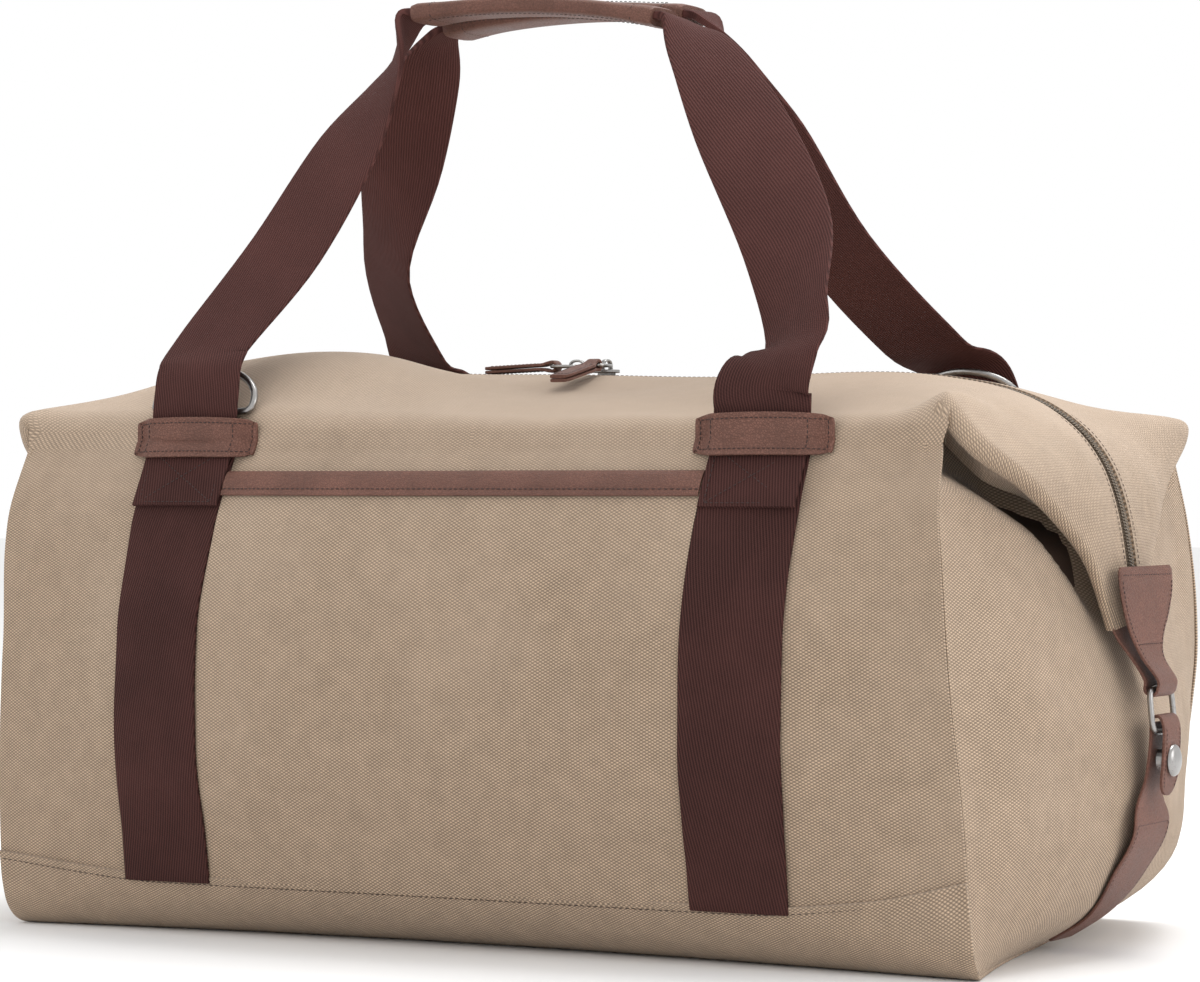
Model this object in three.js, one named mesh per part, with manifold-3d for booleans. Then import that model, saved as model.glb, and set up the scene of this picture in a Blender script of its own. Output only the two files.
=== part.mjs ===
// Canvas duffel bag: sewn shell, zipped top with folded ends, two swinging handles.
// Millimetres, +Z up, X along the bag, -Y is the pocket side, origin on the floor under the middle.
import * as THREE from 'three';
import Module from 'manifold-3d';

const wasm = await Module();
wasm.setup();

// ---------- driving dimensions ----------
const gap = 0.4;            // clearance kept between neighbouring pieces
const cloth = 3;            // padded canvas wall
const baseWrap = 45;        // height of the base panel on the long sides
const rimZ = 243;           // top edge of the walls
const rimY = 120;           // half depth at the top edge
const rimTop = 253;         // where the walls have turned in to meet the zipped top
const ridgeZ = 276.6;       // zip line
const lipEdgeY = 14.5;      // where the canvas stops beside the zip
const tapeY = 3.5;          // where the zip tape stops beside the teeth
const zipEnd = 184;         // half length of the opening part of the zip
const strapX = 157;         // handle straps, from the middle
const webbing = 50;
const webbingT = 2.2;
const patchW = 66;
const patchLow = 235;
const patchTop = 253;
const pocketTop = 228;
const bindingH = 12;
const pocketMouth = 9;      // how far the pocket stands off the wall at its mouth
const gripLength = 137;
const gripShift = -20;      // the grips rest a little to one side
const gripZ = 466;
const gripY = 16;
const wingT = 2.4;
const leatherT = 1.8;

// ---------- shape of the stuffed body ----------
const ramp = (t) => { const s = Math.min(1, Math.max(0, t)); return s * s * (3 - 2 * s); };
const along = (knots, z) => {
  for (let i = 1; i < knots.length; i++) {
    const [z0, v0] = knots[i - 1], [z1, v1] = knots[i];
    if (z <= z1) return v0 + (v1 - v0) * Math.max(0, (z - z0) / (z1 - z0));
  }
  return knots[knots.length - 1][1];
};
const halfLength = (z) => along([[0, 264], [60, 264], [120, 262], [190, 258], [rimZ, 253]], z);
const cornerDepth = (z) => along([[0, 143], [45, 145], [120, 145], [200, 135], [rimZ, rimY]], z);
const bellyDepth = (z) => along([[0, 143], [45, 152], [100, 164.5], [150, 163], [200, 146.5], [rimZ, rimY]], z);
const endBulge = (z) => along([[0, 0], [25, 13], [60, 26], [105, 32], [135, 26], [160, 19], [210, 8], [rimZ, 2]], z);
const rimTurn = (z) => along([[rimZ, rimY], [249, rimY - 1.2], [rimTop, rimY - 4.8]], z);
const wallY = (x, z) => {
  if (z > rimZ) return rimTurn(z);
  const c = cornerDepth(z), r = x / halfLength(z);
  return c + (bellyDepth(z) - c) * (1 - r * r);
};
const endX = (y, z) => {
  const r = y / cornerDepth(z);
  return halfLength(z) + endBulge(z) * (1 - r * r);
};

// ---------- solids from sampled surfaces ----------
const range = (n) => Array.from({ length: n + 1 }, (_, i) => i / n);
const geometry = (points, faces) => {
  const g = new THREE.BufferGeometry();
  g.setAttribute('position', new THREE.Float32BufferAttribute(points.flat(), 3));
  g.setIndex(faces.flat());
  return g;
};
const volume = (points, faces) => faces.reduce((s, [a, b, c]) => {
  const [p, q, r] = [points[a], points[b], points[c]];
  return s + p[0] * (q[1] * r[2] - q[2] * r[1]) - p[1] * (q[0] * r[2] - q[2] * r[0])
    + p[2] * (q[0] * r[1] - q[1] * r[0]);
}, 0);
const outward = (points, faces) =>
  geometry(points, volume(points, faces) > 0 ? faces : faces.map(([a, b, c]) => [a, c, b]));

// a sheet with thickness: rows of outer points over matching rows of inner points
function slab(outer, inner) {
  const nu = outer.length, nv = outer[0].length, off = nu * nv;
  const points = [...outer.flat(), ...inner.flat()];
  const at = (i, j) => i * nv + j;
  const faces = [];
  const quad = (a, b, c, d) => faces.push([a, b, c], [a, c, d]);
  for (let i = 0; i + 1 < nu; i++) for (let j = 0; j + 1 < nv; j++) {
    quad(at(i, j), at(i + 1, j), at(i + 1, j + 1), at(i, j + 1));
    quad(off + at(i, j), off + at(i, j + 1), off + at(i + 1, j + 1), off + at(i + 1, j));
  }
  const rim = (a, b) => quad(a, b, off + b, off + a);
  for (let i = 0; i + 1 < nu; i++) { rim(at(i + 1, 0), at(i, 0)); rim(at(i, nv - 1), at(i + 1, nv - 1)); }
  for (let j = 0; j + 1 < nv; j++) { rim(at(0, j), at(0, j + 1)); rim(at(nu - 1, j + 1), at(nu - 1, j)); }
  return outward(points, faces);
}
// cross sections joined along a path, closed on itself or capped
function loft(sections, closed = false) {
  const n = sections[0].length, m = sections.length;
  const points = sections.flat();
  const faces = [];
  for (let i = 0; i < (closed ? m : m - 1); i++) for (let j = 0; j < n; j++) {
    const a = i * n + j, b = i * n + (j + 1) % n;
    const c = ((i + 1) % m) * n + (j + 1) % n, d = ((i + 1) % m) * n + j;
    faces.push([a, b, c], [a, c, d]);
  }
  if (!closed) for (let j = 1; j + 1 < n; j++) {
    faces.push([0, j + 1, j], [(m - 1) * n, (m - 1) * n + j, (m - 1) * n + j + 1]);
  }
  return outward(points, faces);
}
// a sleeve: outer and inner sections along a path, open right through
function sleeve(outer, inner) {
  const n = outer[0].length, m = outer.length, off = n * m;
  const points = [...outer.flat(), ...inner.flat()];
  const faces = [];
  const quad = (a, b, c, d) => faces.push([a, b, c], [a, c, d]);
  for (let j = 0; j < n; j++) {
    const k = (j + 1) % n;
    for (let i = 0; i + 1 < m; i++) {
      quad(i * n + j, i * n + k, (i + 1) * n + k, (i + 1) * n + j);
      quad(off + i * n + j, off + (i + 1) * n + j, off + (i + 1) * n + k, off + i * n + k);
    }
    quad(j, off + j, off + k, k);
    const e = (m - 1) * n;
    quad(e + j, e + k, off + e + k, off + e + j);
  }
  return outward(points, faces);
}
const V = (p) => new THREE.Vector3(...p);
// frames along a path: station = { p, side, w, t }
function frames(stations, closed = false) {
  const m = stations.length;
  return stations.map((s, i) => {
    const prev = stations[closed ? (i + m - 1) % m : Math.max(0, i - 1)].p;
    const next = stations[closed ? (i + 1) % m : Math.min(m - 1, i + 1)].p;
    const run = V(next).sub(V(prev)).normalize();
    const side = V(s.side);
    side.addScaledVector(run, -side.dot(run)).normalize();
    const normal = side.clone().cross(run).normalize();
    return { ...s, c: V(s.p), side, normal };
  });
}
const place = (f, shape) => shape.map(([u, v]) =>
  f.c.clone().addScaledVector(f.side, u).addScaledVector(f.normal, v).toArray());
const flat = (w, t) => [[-w / 2, -t / 2], [w / 2, -t / 2], [w / 2, t / 2], [-w / 2, t / 2]];
const round = (r, n) => range(n).slice(0, n).map((k) =>
  [r * Math.cos(2 * Math.PI * k), r * Math.sin(2 * Math.PI * k)]);
const ribbon = (stations) => loft(frames(stations).map((f) => place(f, flat(f.w, f.t))));
const wire = (stations, r, n = 6) => loft(frames(stations, true).map((f) => place(f, round(r, n))), true);

const mirror = (g, axis) => {
  const out = g.clone(), p = out.attributes.position.array, idx = out.index.array;
  for (let i = axis; i < p.length; i += 3) p[i] = -p[i];
  for (let i = 0; i < idx.length; i += 3) [idx[i], idx[i + 1]] = [idx[i + 1], idx[i]];
  return out;
};
const flipX = (g) => mirror(g, 0);
const flipY = (g) => mirror(g, 1);

// ---------- booleans ----------
function toSolid(g) {
  const map = new Map(), verts = [], tris = [];
  const p = g.attributes.position, idx = g.index ? g.index.array : range(p.count - 1).map((_, i) => i);
  for (const i of idx) {
    const key = [p.getX(i), p.getY(i), p.getZ(i)].map((v) => Math.round(v * 1e4)).join();
    if (!map.has(key)) { map.set(key, verts.length / 3); verts.push(p.getX(i), p.getY(i), p.getZ(i)); }
    tris.push(map.get(key));
  }
  return new wasm.Manifold(new wasm.Mesh({
    numProp: 3, vertProperties: new Float32Array(verts), triVerts: new Uint32Array(tris) }));
}
function toGeometry(solid) {
  const m = solid.getMesh(), g = new THREE.BufferGeometry();
  g.setAttribute('position', new THREE.BufferAttribute(new Float32Array(m.vertProperties), 3));
  g.setIndex(new THREE.BufferAttribute(new Uint32Array(m.triVerts), 1));
  return g;
}
const union = (...gs) => toGeometry(gs.map(toSolid).reduce((a, b) => a.add(b)));
const indexed = (g) => toGeometry(toSolid(g));
const block = (x0, x1, y0, y1, z0, z1) =>
  new THREE.BoxGeometry(x1 - x0, y1 - y0, z1 - z0).translate((x0 + x1) / 2, (y0 + y1) / 2, (z0 + z1) / 2);

// ---------- assembly ----------
const group = new THREE.Group();
const skins = {
  canvas: { color: 0xa98f76, roughness: 0.95 }, webbing: { color: 0x432c2a, roughness: 0.9 },
  leather: { color: 0x81605a, roughness: 0.7 }, lining: { color: 0x5b4a3c, roughness: 0.95 },
  board: { color: 0x6d6a66, roughness: 0.8 }, tape: { color: 0x9c8670, roughness: 0.95 },
  metal: { color: 0x8d8c8a, roughness: 0.35, metalness: 1 },
};
const add = (name, skin, g) => {
  const mesh = new THREE.Mesh(g, new THREE.MeshStandardMaterial(skins[skin]));
  mesh.name = name;
  group.add(mesh);
};

// walls
const levels = [baseWrap + gap, 70, 100, 125, 150, 175, 200, 220, rimZ, 249, rimTop];
const across = (n, half) => range(n).map((t) => (2 * t - 1) * half);
const wallT = (z) => cloth - 1.9 * Math.max(0, z - rimZ) / (rimTop - rimZ);
const wall = (inner) => levels.map((z) =>
  across(12, halfLength(z)).map((x) => [x, -wallY(x, z) + (inner ? wallT(z) : 0), z]));
const frontWall = slab(wall(false), wall(true));
add('front_panel', 'canvas', frontWall);
add('back_panel', 'canvas', flipY(frontWall));

const endLevels = [cloth + gap, 8, 15, 45, 60, 85, 110, 135, 160, 185, 210, rimZ];
const baseRound = 14;       // rounding of the base along its long sides
const endHalf = (z) => {
  const inner = baseRound - cloth, h = Math.min(inner, Math.max(0, baseRound - z));
  return cornerDepth(z) - cloth - 2 * gap - (h > 0 ? 1 : 0) - (inner - Math.sqrt(inner * inner - h * h));
};
const endGrid = (inset) => endLevels.map((z) =>
  across(10, endHalf(z)).map((y) => [endX(y, z) - inset, y, z]));
const endWall = slab(endGrid(0), endGrid(cloth));
add('end_panel_right', 'canvas', endWall);
add('end_panel_left', 'canvas', flipX(endWall));

// base: one panel turned up along both long sides
function baseSection() {
  const s = new THREE.Shape(), y = cornerDepth(0), r = baseRound;
  const yt = cornerDepth(baseWrap), n = 5;
  const arc = (side, rr) => range(n).map((t) => {
    const a = (Math.PI / 2) * t;
    return [side * (y - r + rr * Math.sin(a)), r - rr * Math.cos(a)];
  });
  const outer = [...arc(-1, r).reverse(), ...arc(1, r)], inner = [...arc(-1, r - cloth).reverse(), ...arc(1, r - cloth)];
  s.moveTo(-yt, baseWrap);
  outer.forEach(([a, b]) => s.lineTo(a, b));
  s.lineTo(yt, baseWrap);
  s.lineTo(yt - cloth, baseWrap);
  inner.reverse().forEach(([a, b]) => s.lineTo(a, b));
  s.lineTo(-yt + cloth, baseWrap);
  return s;
}
const baseHalf = halfLength(0) - 2;
const sweepX = (shape, x0, x1) => {
  const g = new THREE.ExtrudeGeometry(shape, { depth: x1 - x0, bevelEnabled: false, steps: 1 });
  g.applyMatrix4(new THREE.Matrix4().set(0, 0, 1, x0, 1, 0, 0, 0, 0, 1, 0, 0, 0, 0, 0, 1));
  return toGeometry(toSolid(g));
};
add('base_panel', 'canvas', sweepX(baseSection(), -baseHalf, baseHalf));

function roundedRect(hx, hy, r) {
  const s = new THREE.Shape();
  s.moveTo(-hx + r, -hy);
  s.lineTo(hx - r, -hy); s.absarc(hx - r, -hy + r, r, -Math.PI / 2, 0);
  s.lineTo(hx, hy - r); s.absarc(hx - r, hy - r, r, 0, Math.PI / 2);
  s.lineTo(-hx + r, hy); s.absarc(-hx + r, hy - r, r, Math.PI / 2, Math.PI);
  s.lineTo(-hx, -hy + r); s.absarc(-hx + r, -hy + r, r, Math.PI, 1.5 * Math.PI);
  return s;
}
const plate = (shape, depth, seg = 4) => toGeometry(toSolid(
  new THREE.ExtrudeGeometry(shape, { depth, bevelEnabled: false, curveSegments: seg })));
add('base_board', 'board', plate(roundedRect(248, 126, 18), 3).translate(0, 0, cloth + gap));

// lining: an open bag of thin cloth just inside the walls
{
  const t = 1, z0 = cloth + 3 + 2 * gap + 0.4;
  const zs = [z0, 25, 45, 70, 100, 125, 150, 175, 200, 220, rimZ - 4];
  const ring = (z, d, zz = z) => {
    const out = [];
    const inset = cloth + 6 * gap + d, tuck = 12 * Math.max(0, 1 - z / 25);
    const hx = (y) => endX(y, z) - inset;
    const hy = (x) => (z > baseWrap ? wallY(x, z) : cornerDepth(z)) - inset - tuck;
    const cx = halfLength(z) - inset, cy = cornerDepth(z) - inset - tuck;
    across(12, cx).slice(0, 12).forEach((x) => out.push([x, -hy(x), zz]));
    across(10, cy).slice(0, 10).forEach((y) => out.push([hx(y), y, zz]));
    across(12, cx).slice(0, 12).forEach((x) => out.push([-x, hy(-x), zz]));
    across(10, cy).slice(0, 10).forEach((y) => out.push([-hx(-y), -y, zz]));
    return out;
  };
  const sections = [...zs.map((z) => ring(z, 0)), ...zs.slice().reverse().map((z) =>
    ring(z, t, z === z0 ? z0 + t : z))];
  add('lining', 'lining', loft(sections));
}

// top: two lips that meet at the zip
const cutX = (y) => 201.5 + (Math.abs(y) - lipEdgeY) * (252 - 201.5) / (rimY - lipEdgeY);
const hinge = { y: rimY - 6.2, z: rimTop };
const lipRows = range(4).map((t) => [hinge.y - 0.2 - t * (hinge.y - 0.2 - lipEdgeY), rimTop + gap + t * (ridgeZ - rimTop - gap)]);
const lipGrid = (d) => lipRows.map(([y, z]) => across(8, cutX(y)).map((x) => [x, -y + d * 0.2, z - d]));
const lip = slab(lipGrid(0), lipGrid(cloth - 0.4));
add('front_lip', 'canvas', lip);
add('rear_lip', 'canvas', flipY(lip));

const tape = indexed(block(-zipEnd, zipEnd, -lipEdgeY + gap, -tapeY, ridgeZ - 1.4, ridgeZ - 0.4));
add('zip_tape_front', 'tape', tape);
add('zip_tape_rear', 'tape', flipY(tape));
const teeth = indexed(block(-zipEnd, zipEnd, -tapeY + 0.3, -0.75, ridgeZ - 2.4, ridgeZ + 0.6));
add('zip_teeth_front', 'metal', teeth);
add('zip_teeth_rear', 'metal', flipY(teeth));

// folded ends of the zipped top
const wingRows = [[199.5, 276.2, 5, 0], [221, 269.5, 44, 4], [241.5, 262, 84, 6], [256.5, 253.5, 116, 5],
  [268, 243.5, 112, 4], [279, 228, 86, 5], [286, 205, 56, 4], [290, 180, 31, 2], [292, 150, 14, 0]];
const wingNormal = (i) => {
  const a = wingRows[Math.max(0, i - 1)], b = wingRows[Math.min(wingRows.length - 1, i + 1)];
  const l = Math.hypot(b[0] - a[0], b[1] - a[1]);
  return [-(b[1] - a[1]) / l, (b[0] - a[0]) / l];
};
const wingGrid = (d) => wingRows.map(([x, z, hw, droop], i) => {
  const [nx, nz] = wingNormal(i);
  return across(6, hw).map((y) => {
    const k = droop * (y / hw) ** 2;
    return [x - nx * (d + k), y, z - nz * (d + k)];
  });
});
const wing = slab(wingGrid(0), wingGrid(wingT));
add('wing_right', 'canvas', wing);
add('wing_left', 'canvas', flipX(wing));
const wingZip = ribbon([...wingRows.slice(0, 8).map(([x, z], i) => {
  const [nx, nz] = wingNormal(i), h = gap + 0.9;
  const lift = i === 0 ? 2.5 : 0;
  return { p: [x + nx * h + lift, 0, z + nz * h + (i === 7 ? 5 : 0)], side: [0, 1, 0], w: 13, t: 1.8 };
})]);
add('wing_zip_right', 'tape', wingZip);
add('wing_zip_left', 'tape', flipX(wingZip));

// pocket on the front
const pocketLevels = [baseWrap + gap, 70, 100, 125, 150, 175, 200, pocketTop - bindingH - gap];
const standOff = (z) => gap + (pocketMouth - gap) * ramp((z - 150) / (pocketTop - 150));
const pocketGrid = (d) => pocketLevels.map((z) =>
  across(6, strapX - webbing / 2 - gap).map((x) => [x, -wallY(x, z) - standOff(z) - d, z]));
add('pocket_panel', 'canvas', slab(pocketGrid(1.6), pocketGrid(0)));
const bindingGrid = (d) => [pocketTop - bindingH, pocketTop].map((z) =>
  across(6, strapX - webbing / 2 - gap).map((x) => [x, -wallY(x, z) - standOff(z) - d, z]));
add('pocket_binding', 'leather', slab(bindingGrid(2.6), bindingGrid(-0.4)));

// straps sewn up the walls, handle ends over them, leather patches over those
const strapLevels = [baseWrap + gap, 70, 100, 125, 150, 175, 200, 220, rimZ, 250];
const layer = (zs, w, d0, d1) => {
  const grid = (d) => zs.map((z) => [-w / 2, 0, w / 2].map((dx) =>
    [strapX + dx, -(z > rimZ ? rimY : wallY(strapX + dx, z)) - d, z]));
  return slab(grid(d1), grid(d0));
};
const anchorZs = [211, 220, rimZ, 255.6];
const d1 = gap, d2 = gap + webbingT, d3 = d2 + gap, d4 = d3 + webbingT, d5 = d4 + gap, d6 = d5 + 1.7;
for (const [side, fy] of [['front', (g) => g], ['rear', flipY]]) {
  for (const [hand, fx] of [['right', (g) => g], ['left', flipX]]) {
    add(`strap_${side}_${hand}`, 'webbing', fx(fy(layer(strapLevels, webbing, d1, d2))));
    add(`handle_end_${side}_${hand}`, 'webbing', fx(fy(layer(anchorZs, webbing, d3, d4))));
    add(`patch_${side}_${hand}`, 'leather', fx(fy(layer([patchLow, rimZ, patchTop], patchW, d5, d6))));
  }
}

// handles
const handY = -(rimY + (d3 + d4) / 2);
// one leg from its foot: across, front to back, height, and the way its width lies
const legs = (sign, path, tilt) => [
  { p: [sign * strapX, handY, 256.2], side: [1, 0, 0], w: webbing, t: webbingT },
  { p: [sign * strapX, handY + 1.5, 267], side: [1, 0, 0], w: webbing, t: webbingT },
  ...path.map(([x, y, z, side, w = webbing, t = webbingT]) => ({ p: [x, y, z], side, w, t })),
  { p: [gripShift + sign * (gripLength / 2 + 9), -gripY - 0.5, 458 - tilt * sign], side: [0, sign, 0], w: 25.4, t: 4.2 },
];
const gripArch = (u, tilt) => gripZ - 5 * (2 * u - 1) ** 2 - tilt * (2 * u - 1);
const gripRun = (more, tilt) => [...(more ? [-more / gripLength] : []), ...range(6), ...(more ? [1 + more / gripLength] : [])]
  .map((u) => ({ p: [gripShift + (u - 0.5) * gripLength, -gripY, gripArch(u, tilt)], side: [0, -1, 0], w: 24.6, t: 4.4 }));
const handle = (left, right, tilt) => ribbon([...left, ...gripRun(1.5, tilt), ...right.reverse()
  .map((s) => ({ ...s, side: s.side.map((v) => -v) }))]);
const frontTilt = 4.5;
add('front_handle', 'webbing', handle(
  legs(-1, [
    [-158, -117.6, 280.5, [1, -0.04, 0]], [-157, -104, 295, [1, -0.12, -0.05]], [-136, -73, 340, [1, -0.4, -0.3]],
    [-115.5, -45, 396, [1, -0.6, -0.5], 46], [-102, -27, 436, [0.8, -1.2, -0.6], 36, 3],
  ], frontTilt),
  legs(1, [
    [162, -117, 280.5, [1, -0.2, 0]], [163, -102, 296, [1, -0.62, 0]], [144, -72, 340, [1, -0.1, 0.1]],
    [105, -44, 396, [1, 0.6, 0.5], 46], [77, -27, 436, [0.8, 1.2, 0.6], 36, 3],
  ], frontTilt), frontTilt));
add('rear_handle', 'webbing', flipY(handle(
  legs(-1, [
    [-161, -116.6, 280.5, [1, 0.2, 0]], [-163, -98, 295, [1, 0.7, 0.1]], [-157, -58, 340, [1, 0.7, 0]],
    [-133, -36, 396, [1, -0.3, -0.4], 46], [-111, -23, 436, [0.8, -1.2, -0.6], 36, 3],
  ], 0),
  legs(1, [
    [150.5, -117, 281, [1, 0.06, 0]], [136, -98, 295, [1, 0.15, 0.05]], [109, -58, 340, [1, 0.4, 0.3]],
    [85, -36, 396, [1, 0.6, 0.5], 46], [70, -23, 436, [0.8, 1.2, 0.6], 36, 3],
  ], 0), 0)));

const gripShape = (w, t, c) => [[-w / 2, -t / 2 + c], [-w / 2 + c, -t / 2], [0, -t / 2], [w / 2 - c, -t / 2],
  [w / 2, -t / 2 + c], [w / 2, t / 2 - c], [w / 2 - c, t / 2], [0, t / 2], [-w / 2 + c, t / 2], [-w / 2, t / 2 - c]];
const grip = (tilt) => {
  const f = frames(gripRun(0, tilt));
  return sleeve(f.map((k) => place(k, gripShape(29.4, 9.4, 2.4))), f.map((k) => place(k, gripShape(26.2, 5.8, 0.3))));
};
add('front_grip', 'leather', grip(frontTilt));
add('rear_grip', 'leather', flipY(grip(0)));

// sliders with a bail on top; the pull hangs from a wire loop in the bail
const slideX = 8.5;
const zTop = ridgeZ + 1;
function slider(turn) {
  const z = zTop;
  const bail = union(block(-4.6, -3.2, -1.4, 1.4, z + 1.2, z + 6.4), block(3.2, 4.6, -1.4, 1.4, z + 1.2, z + 6.4),
    block(-4.6, 4.6, -1.4, 1.4, z + 5.2, z + 6.6)).rotateZ(turn);
  return union(block(-6, 6, -5.4, 5.4, z, z + 1.6), block(-6, 6, -5.4, 5.4, ridgeZ - 4.6, ridgeZ - 2.9),
    block(-5.4, 5.4, -0.35, 0.35, ridgeZ - 3.2, z + 0.4), bail);
}
add('slider_left', 'metal', slider(0).translate(-slideX, 0, 0));
add('slider_right', 'metal', slider(Math.PI / 2).translate(slideX, 0, 0));

// a wire loop lying along +X from its pivot, then the leather pull on its far bar
const oval = (x0, x1, hy, r, n = 4) => {
  const out = [];
  for (const [cx, s] of [[x1 - r, 1], [x0 + r, -1]]) for (const half of [0, 1]) {
    const cy = (half === 0 ? -1 : 1) * s * (hy - r);
    range(n).forEach((t) => {
      const a = (half === 0 ? -Math.PI / 2 + t * Math.PI / 2 : t * Math.PI / 2) + (s < 0 ? Math.PI : 0);
      out.push([cx + r * Math.cos(a), cy + r * Math.sin(a)]);
    });
  }
  return out.filter((p, i) => i === 0 || Math.hypot(p[0] - out[i - 1][0], p[1] - out[i - 1][1]) > 1e-6);
};
const loopR = 0.8;
const loop = wire(oval(-0.2, 14, 4.4, 2.4).map(([x, y]) => ({ p: [x, y, 0], side: [0, 0, 1] })), loopR);
const pullEye = 13.3;
const pull = (() => {
  const eye = 1.5, t = 1.7, x0 = pullEye;
  const out = [];
  out.push({ p: [x0 + 38, 0, -1.05] }, { p: [x0 + 6, 0, -1.05] }, { p: [x0 + 2.6, 0, -(eye + t / 2) * 0.8] });
  range(6).forEach((k) => {
    const a = -Math.PI / 2 - k * Math.PI;
    out.push({ p: [x0 + (eye + t / 2) * Math.cos(a), 0, (eye + t / 2) * Math.sin(a)] });
  });
  out.push({ p: [x0 + 2.6, 0, (eye + t / 2) * 0.8] }, { p: [x0 + 6, 0, 1.05] }, { p: [x0 + 38, 0, 1.05] });
  const width = (x) => 6.2 + 5 * ramp((x - x0 - 2) / 8);
  return ribbon(out.map((s) => ({ ...s, side: [0, 1, 0], w: width(s.p[0]), t })));
})();
const loopZ = zTop + 3.6;
const onto = (g, angle, droop, x) => g.clone().translate(-pullEye, 0, 0).rotateY(droop)
  .translate(pullEye, 0, 0).rotateZ(angle).translate(x, 0, loopZ);
add('pull_loop_left', 'metal', onto(loop, Math.PI, 0, -slideX));
add('pull_left', 'leather', onto(pull, Math.PI, 0.04, -slideX));
add('pull_loop_right', 'metal', onto(loop, -Math.PI / 2, 0, slideX));
add('pull_right', 'leather', onto(pull, -Math.PI / 2, 0.2, slideX));

// ends: leather tab over the wing tip, ring, strap from the base, snapped flap
const ringTop = [304, 126], ringLow = [306, 105.5];
const tabPath = (() => {
  const r = 3.3, out = [];
  const wAt = (z) => 24 + 22 * ramp((z - 132) / 48);
  const n7 = 2.2 - wingT / 2 + 0.8;
  out.push([290.6 + n7, 181], [292.4 + n7, 150], [298.5, 140], [ringTop[0] + r, ringTop[1] + 3]);
  range(4).forEach((k) => {
    const a = -k * Math.PI;
    out.push([ringTop[0] + r * Math.cos(a), ringTop[1] + r * Math.sin(a)]);
  });
  out.push([ringTop[0] - r, ringTop[1] + 3], [294, 140], [292.4 - wingT - 2.6, 150], [290.6 - wingT - 2.8, 181]);
  return out.map(([x, z]) => ({ p: [x, 0, z], side: [0, 1, 0], w: wAt(z), t: leatherT }));
})();
const tab = ribbon(tabPath);
const ringShape = oval(-11.6, 11.6, 14.4, 2.6, 3);
const ringTilt = Math.atan2(ringLow[0] - ringTop[0], ringTop[1] - ringLow[1]);
const ringMid = [(ringTop[0] + ringLow[0]) / 2, (ringTop[1] + ringLow[1]) / 2];
const ringHalf = Math.hypot(ringTop[0] - ringLow[0], ringTop[1] - ringLow[1]) / 2;
const endRing = wire(ringShape.map(([v, y]) => {
  const h = v * ringHalf / 11.6;
  return { p: [ringMid[0] - h * Math.sin(ringTilt), y, ringMid[1] + h * Math.cos(ringTilt)],
    side: [Math.cos(ringTilt), 0, Math.sin(ringTilt)] };
}), 1.4);
const strapWidth = (z) => 21 + 23 * ramp((z - 6) / 34) * ramp((84 - z) / 22);
const off = gap + leatherT / 2;
const endStrap = ribbon([[endX(0, 7) + off + 0.6, 7], [endX(0, 25) + off + 0.4, 25], [endX(0, 42) + off + 0.8, 42],
  [endX(0, 60) + off + 0.8, 60], [298.8, 74], [301.6, 88], [303, 100], [303.4, 110.4]]
  .map(([x, z]) => ({ p: [x, 0, z], side: [0, 1, 0], w: Math.max(strapWidth(z), z < 10 ? 30 : 0), t: leatherT })));
const flapPath = [[304.9, 112.8], [307.6, 112.6], [309.4, 109.2], [309.6, 98], [308.6, 86], [307.4, 79], [306.9, 75.5]];
const flap = ribbon(flapPath.map(([x, z]) => ({ p: [x, 0, z], side: [0, 1, 0],
  w: z < 76 ? 11 : z < 80 ? 18 : 21, t: leatherT })));
const disc = (r, x0, x1, z, tip) => {
  const pts = [new THREE.Vector2(0, 0), new THREE.Vector2(r, 0), new THREE.Vector2(r * 0.94, (x1 - x0) * 0.55),
    new THREE.Vector2(r * tip, x1 - x0), new THREE.Vector2(0, x1 - x0)];
  return indexed(new THREE.LatheGeometry(pts, 16).rotateZ(-Math.PI / 2).translate(x0, 0, z));
};
const cap = disc(7.6, 310.5, 313.3, 92, 0.6);
const stud = disc(5, 303.8, 307.8, 92, 0.8);
for (const [hand, fx] of [['right', (g) => g], ['left', flipX]]) {
  add(`end_tab_${hand}`, 'leather', fx(tab));
  add(`end_ring_${hand}`, 'metal', fx(endRing));
  add(`end_strap_${hand}`, 'leather', fx(endStrap));
  add(`snap_flap_${hand}`, 'leather', fx(flap));
  add(`snap_cap_${hand}`, 'metal', fx(cap));
  add(`snap_stud_${hand}`, 'metal', fx(stud));
}

// shoulder-strap rings behind two of the handle ends, set cornerwise
const dLean = 0.45, dBar = [-117.8, 257.4];
const dPoint = (x, h) => [x, dBar[0] + h * Math.sin(dLean), dBar[1] + h * Math.cos(dLean)];
const dShape = (() => {
  const hw = 29, hh = 24, out = [];
  out.push([-hw + 2, 0], [0, 0], [hw - 2, 0], [hw, 2]);
  range(6).slice(0).forEach((t) => { const a = t * Math.PI; out.push([hw * Math.cos(a), 6 + (hh - 6) * Math.sin(a)]); });
  out.push([-hw, 2]);
  return out;
})();
const dRing = wire(dShape.map(([x, h]) => ({ p: dPoint(x - strapX, h), side: [0, Math.cos(dLean), -Math.sin(dLean)] })), 1.8);
const keeper = sleeve([-strapX - 13, -strapX + 13].map((x) => round(4.2, 10).map(([a, b]) => [x, dBar[0] + a, dBar[1] + b])),
  [-strapX - 13, -strapX + 13].map((x) => round(2.4, 10).map(([a, b]) => [x, dBar[0] + a, dBar[1] + b])));
add('shoulder_ring_front', 'metal', dRing);
add('ring_keeper_front', 'webbing', keeper);
add('shoulder_ring_rear', 'metal', flipX(flipY(dRing)));
add('ring_keeper_rear', 'webbing', flipX(flipY(keeper)));

export default group;
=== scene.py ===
"""Canvas duffel bag: the cloth, webbing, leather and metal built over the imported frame."""

import math

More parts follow.
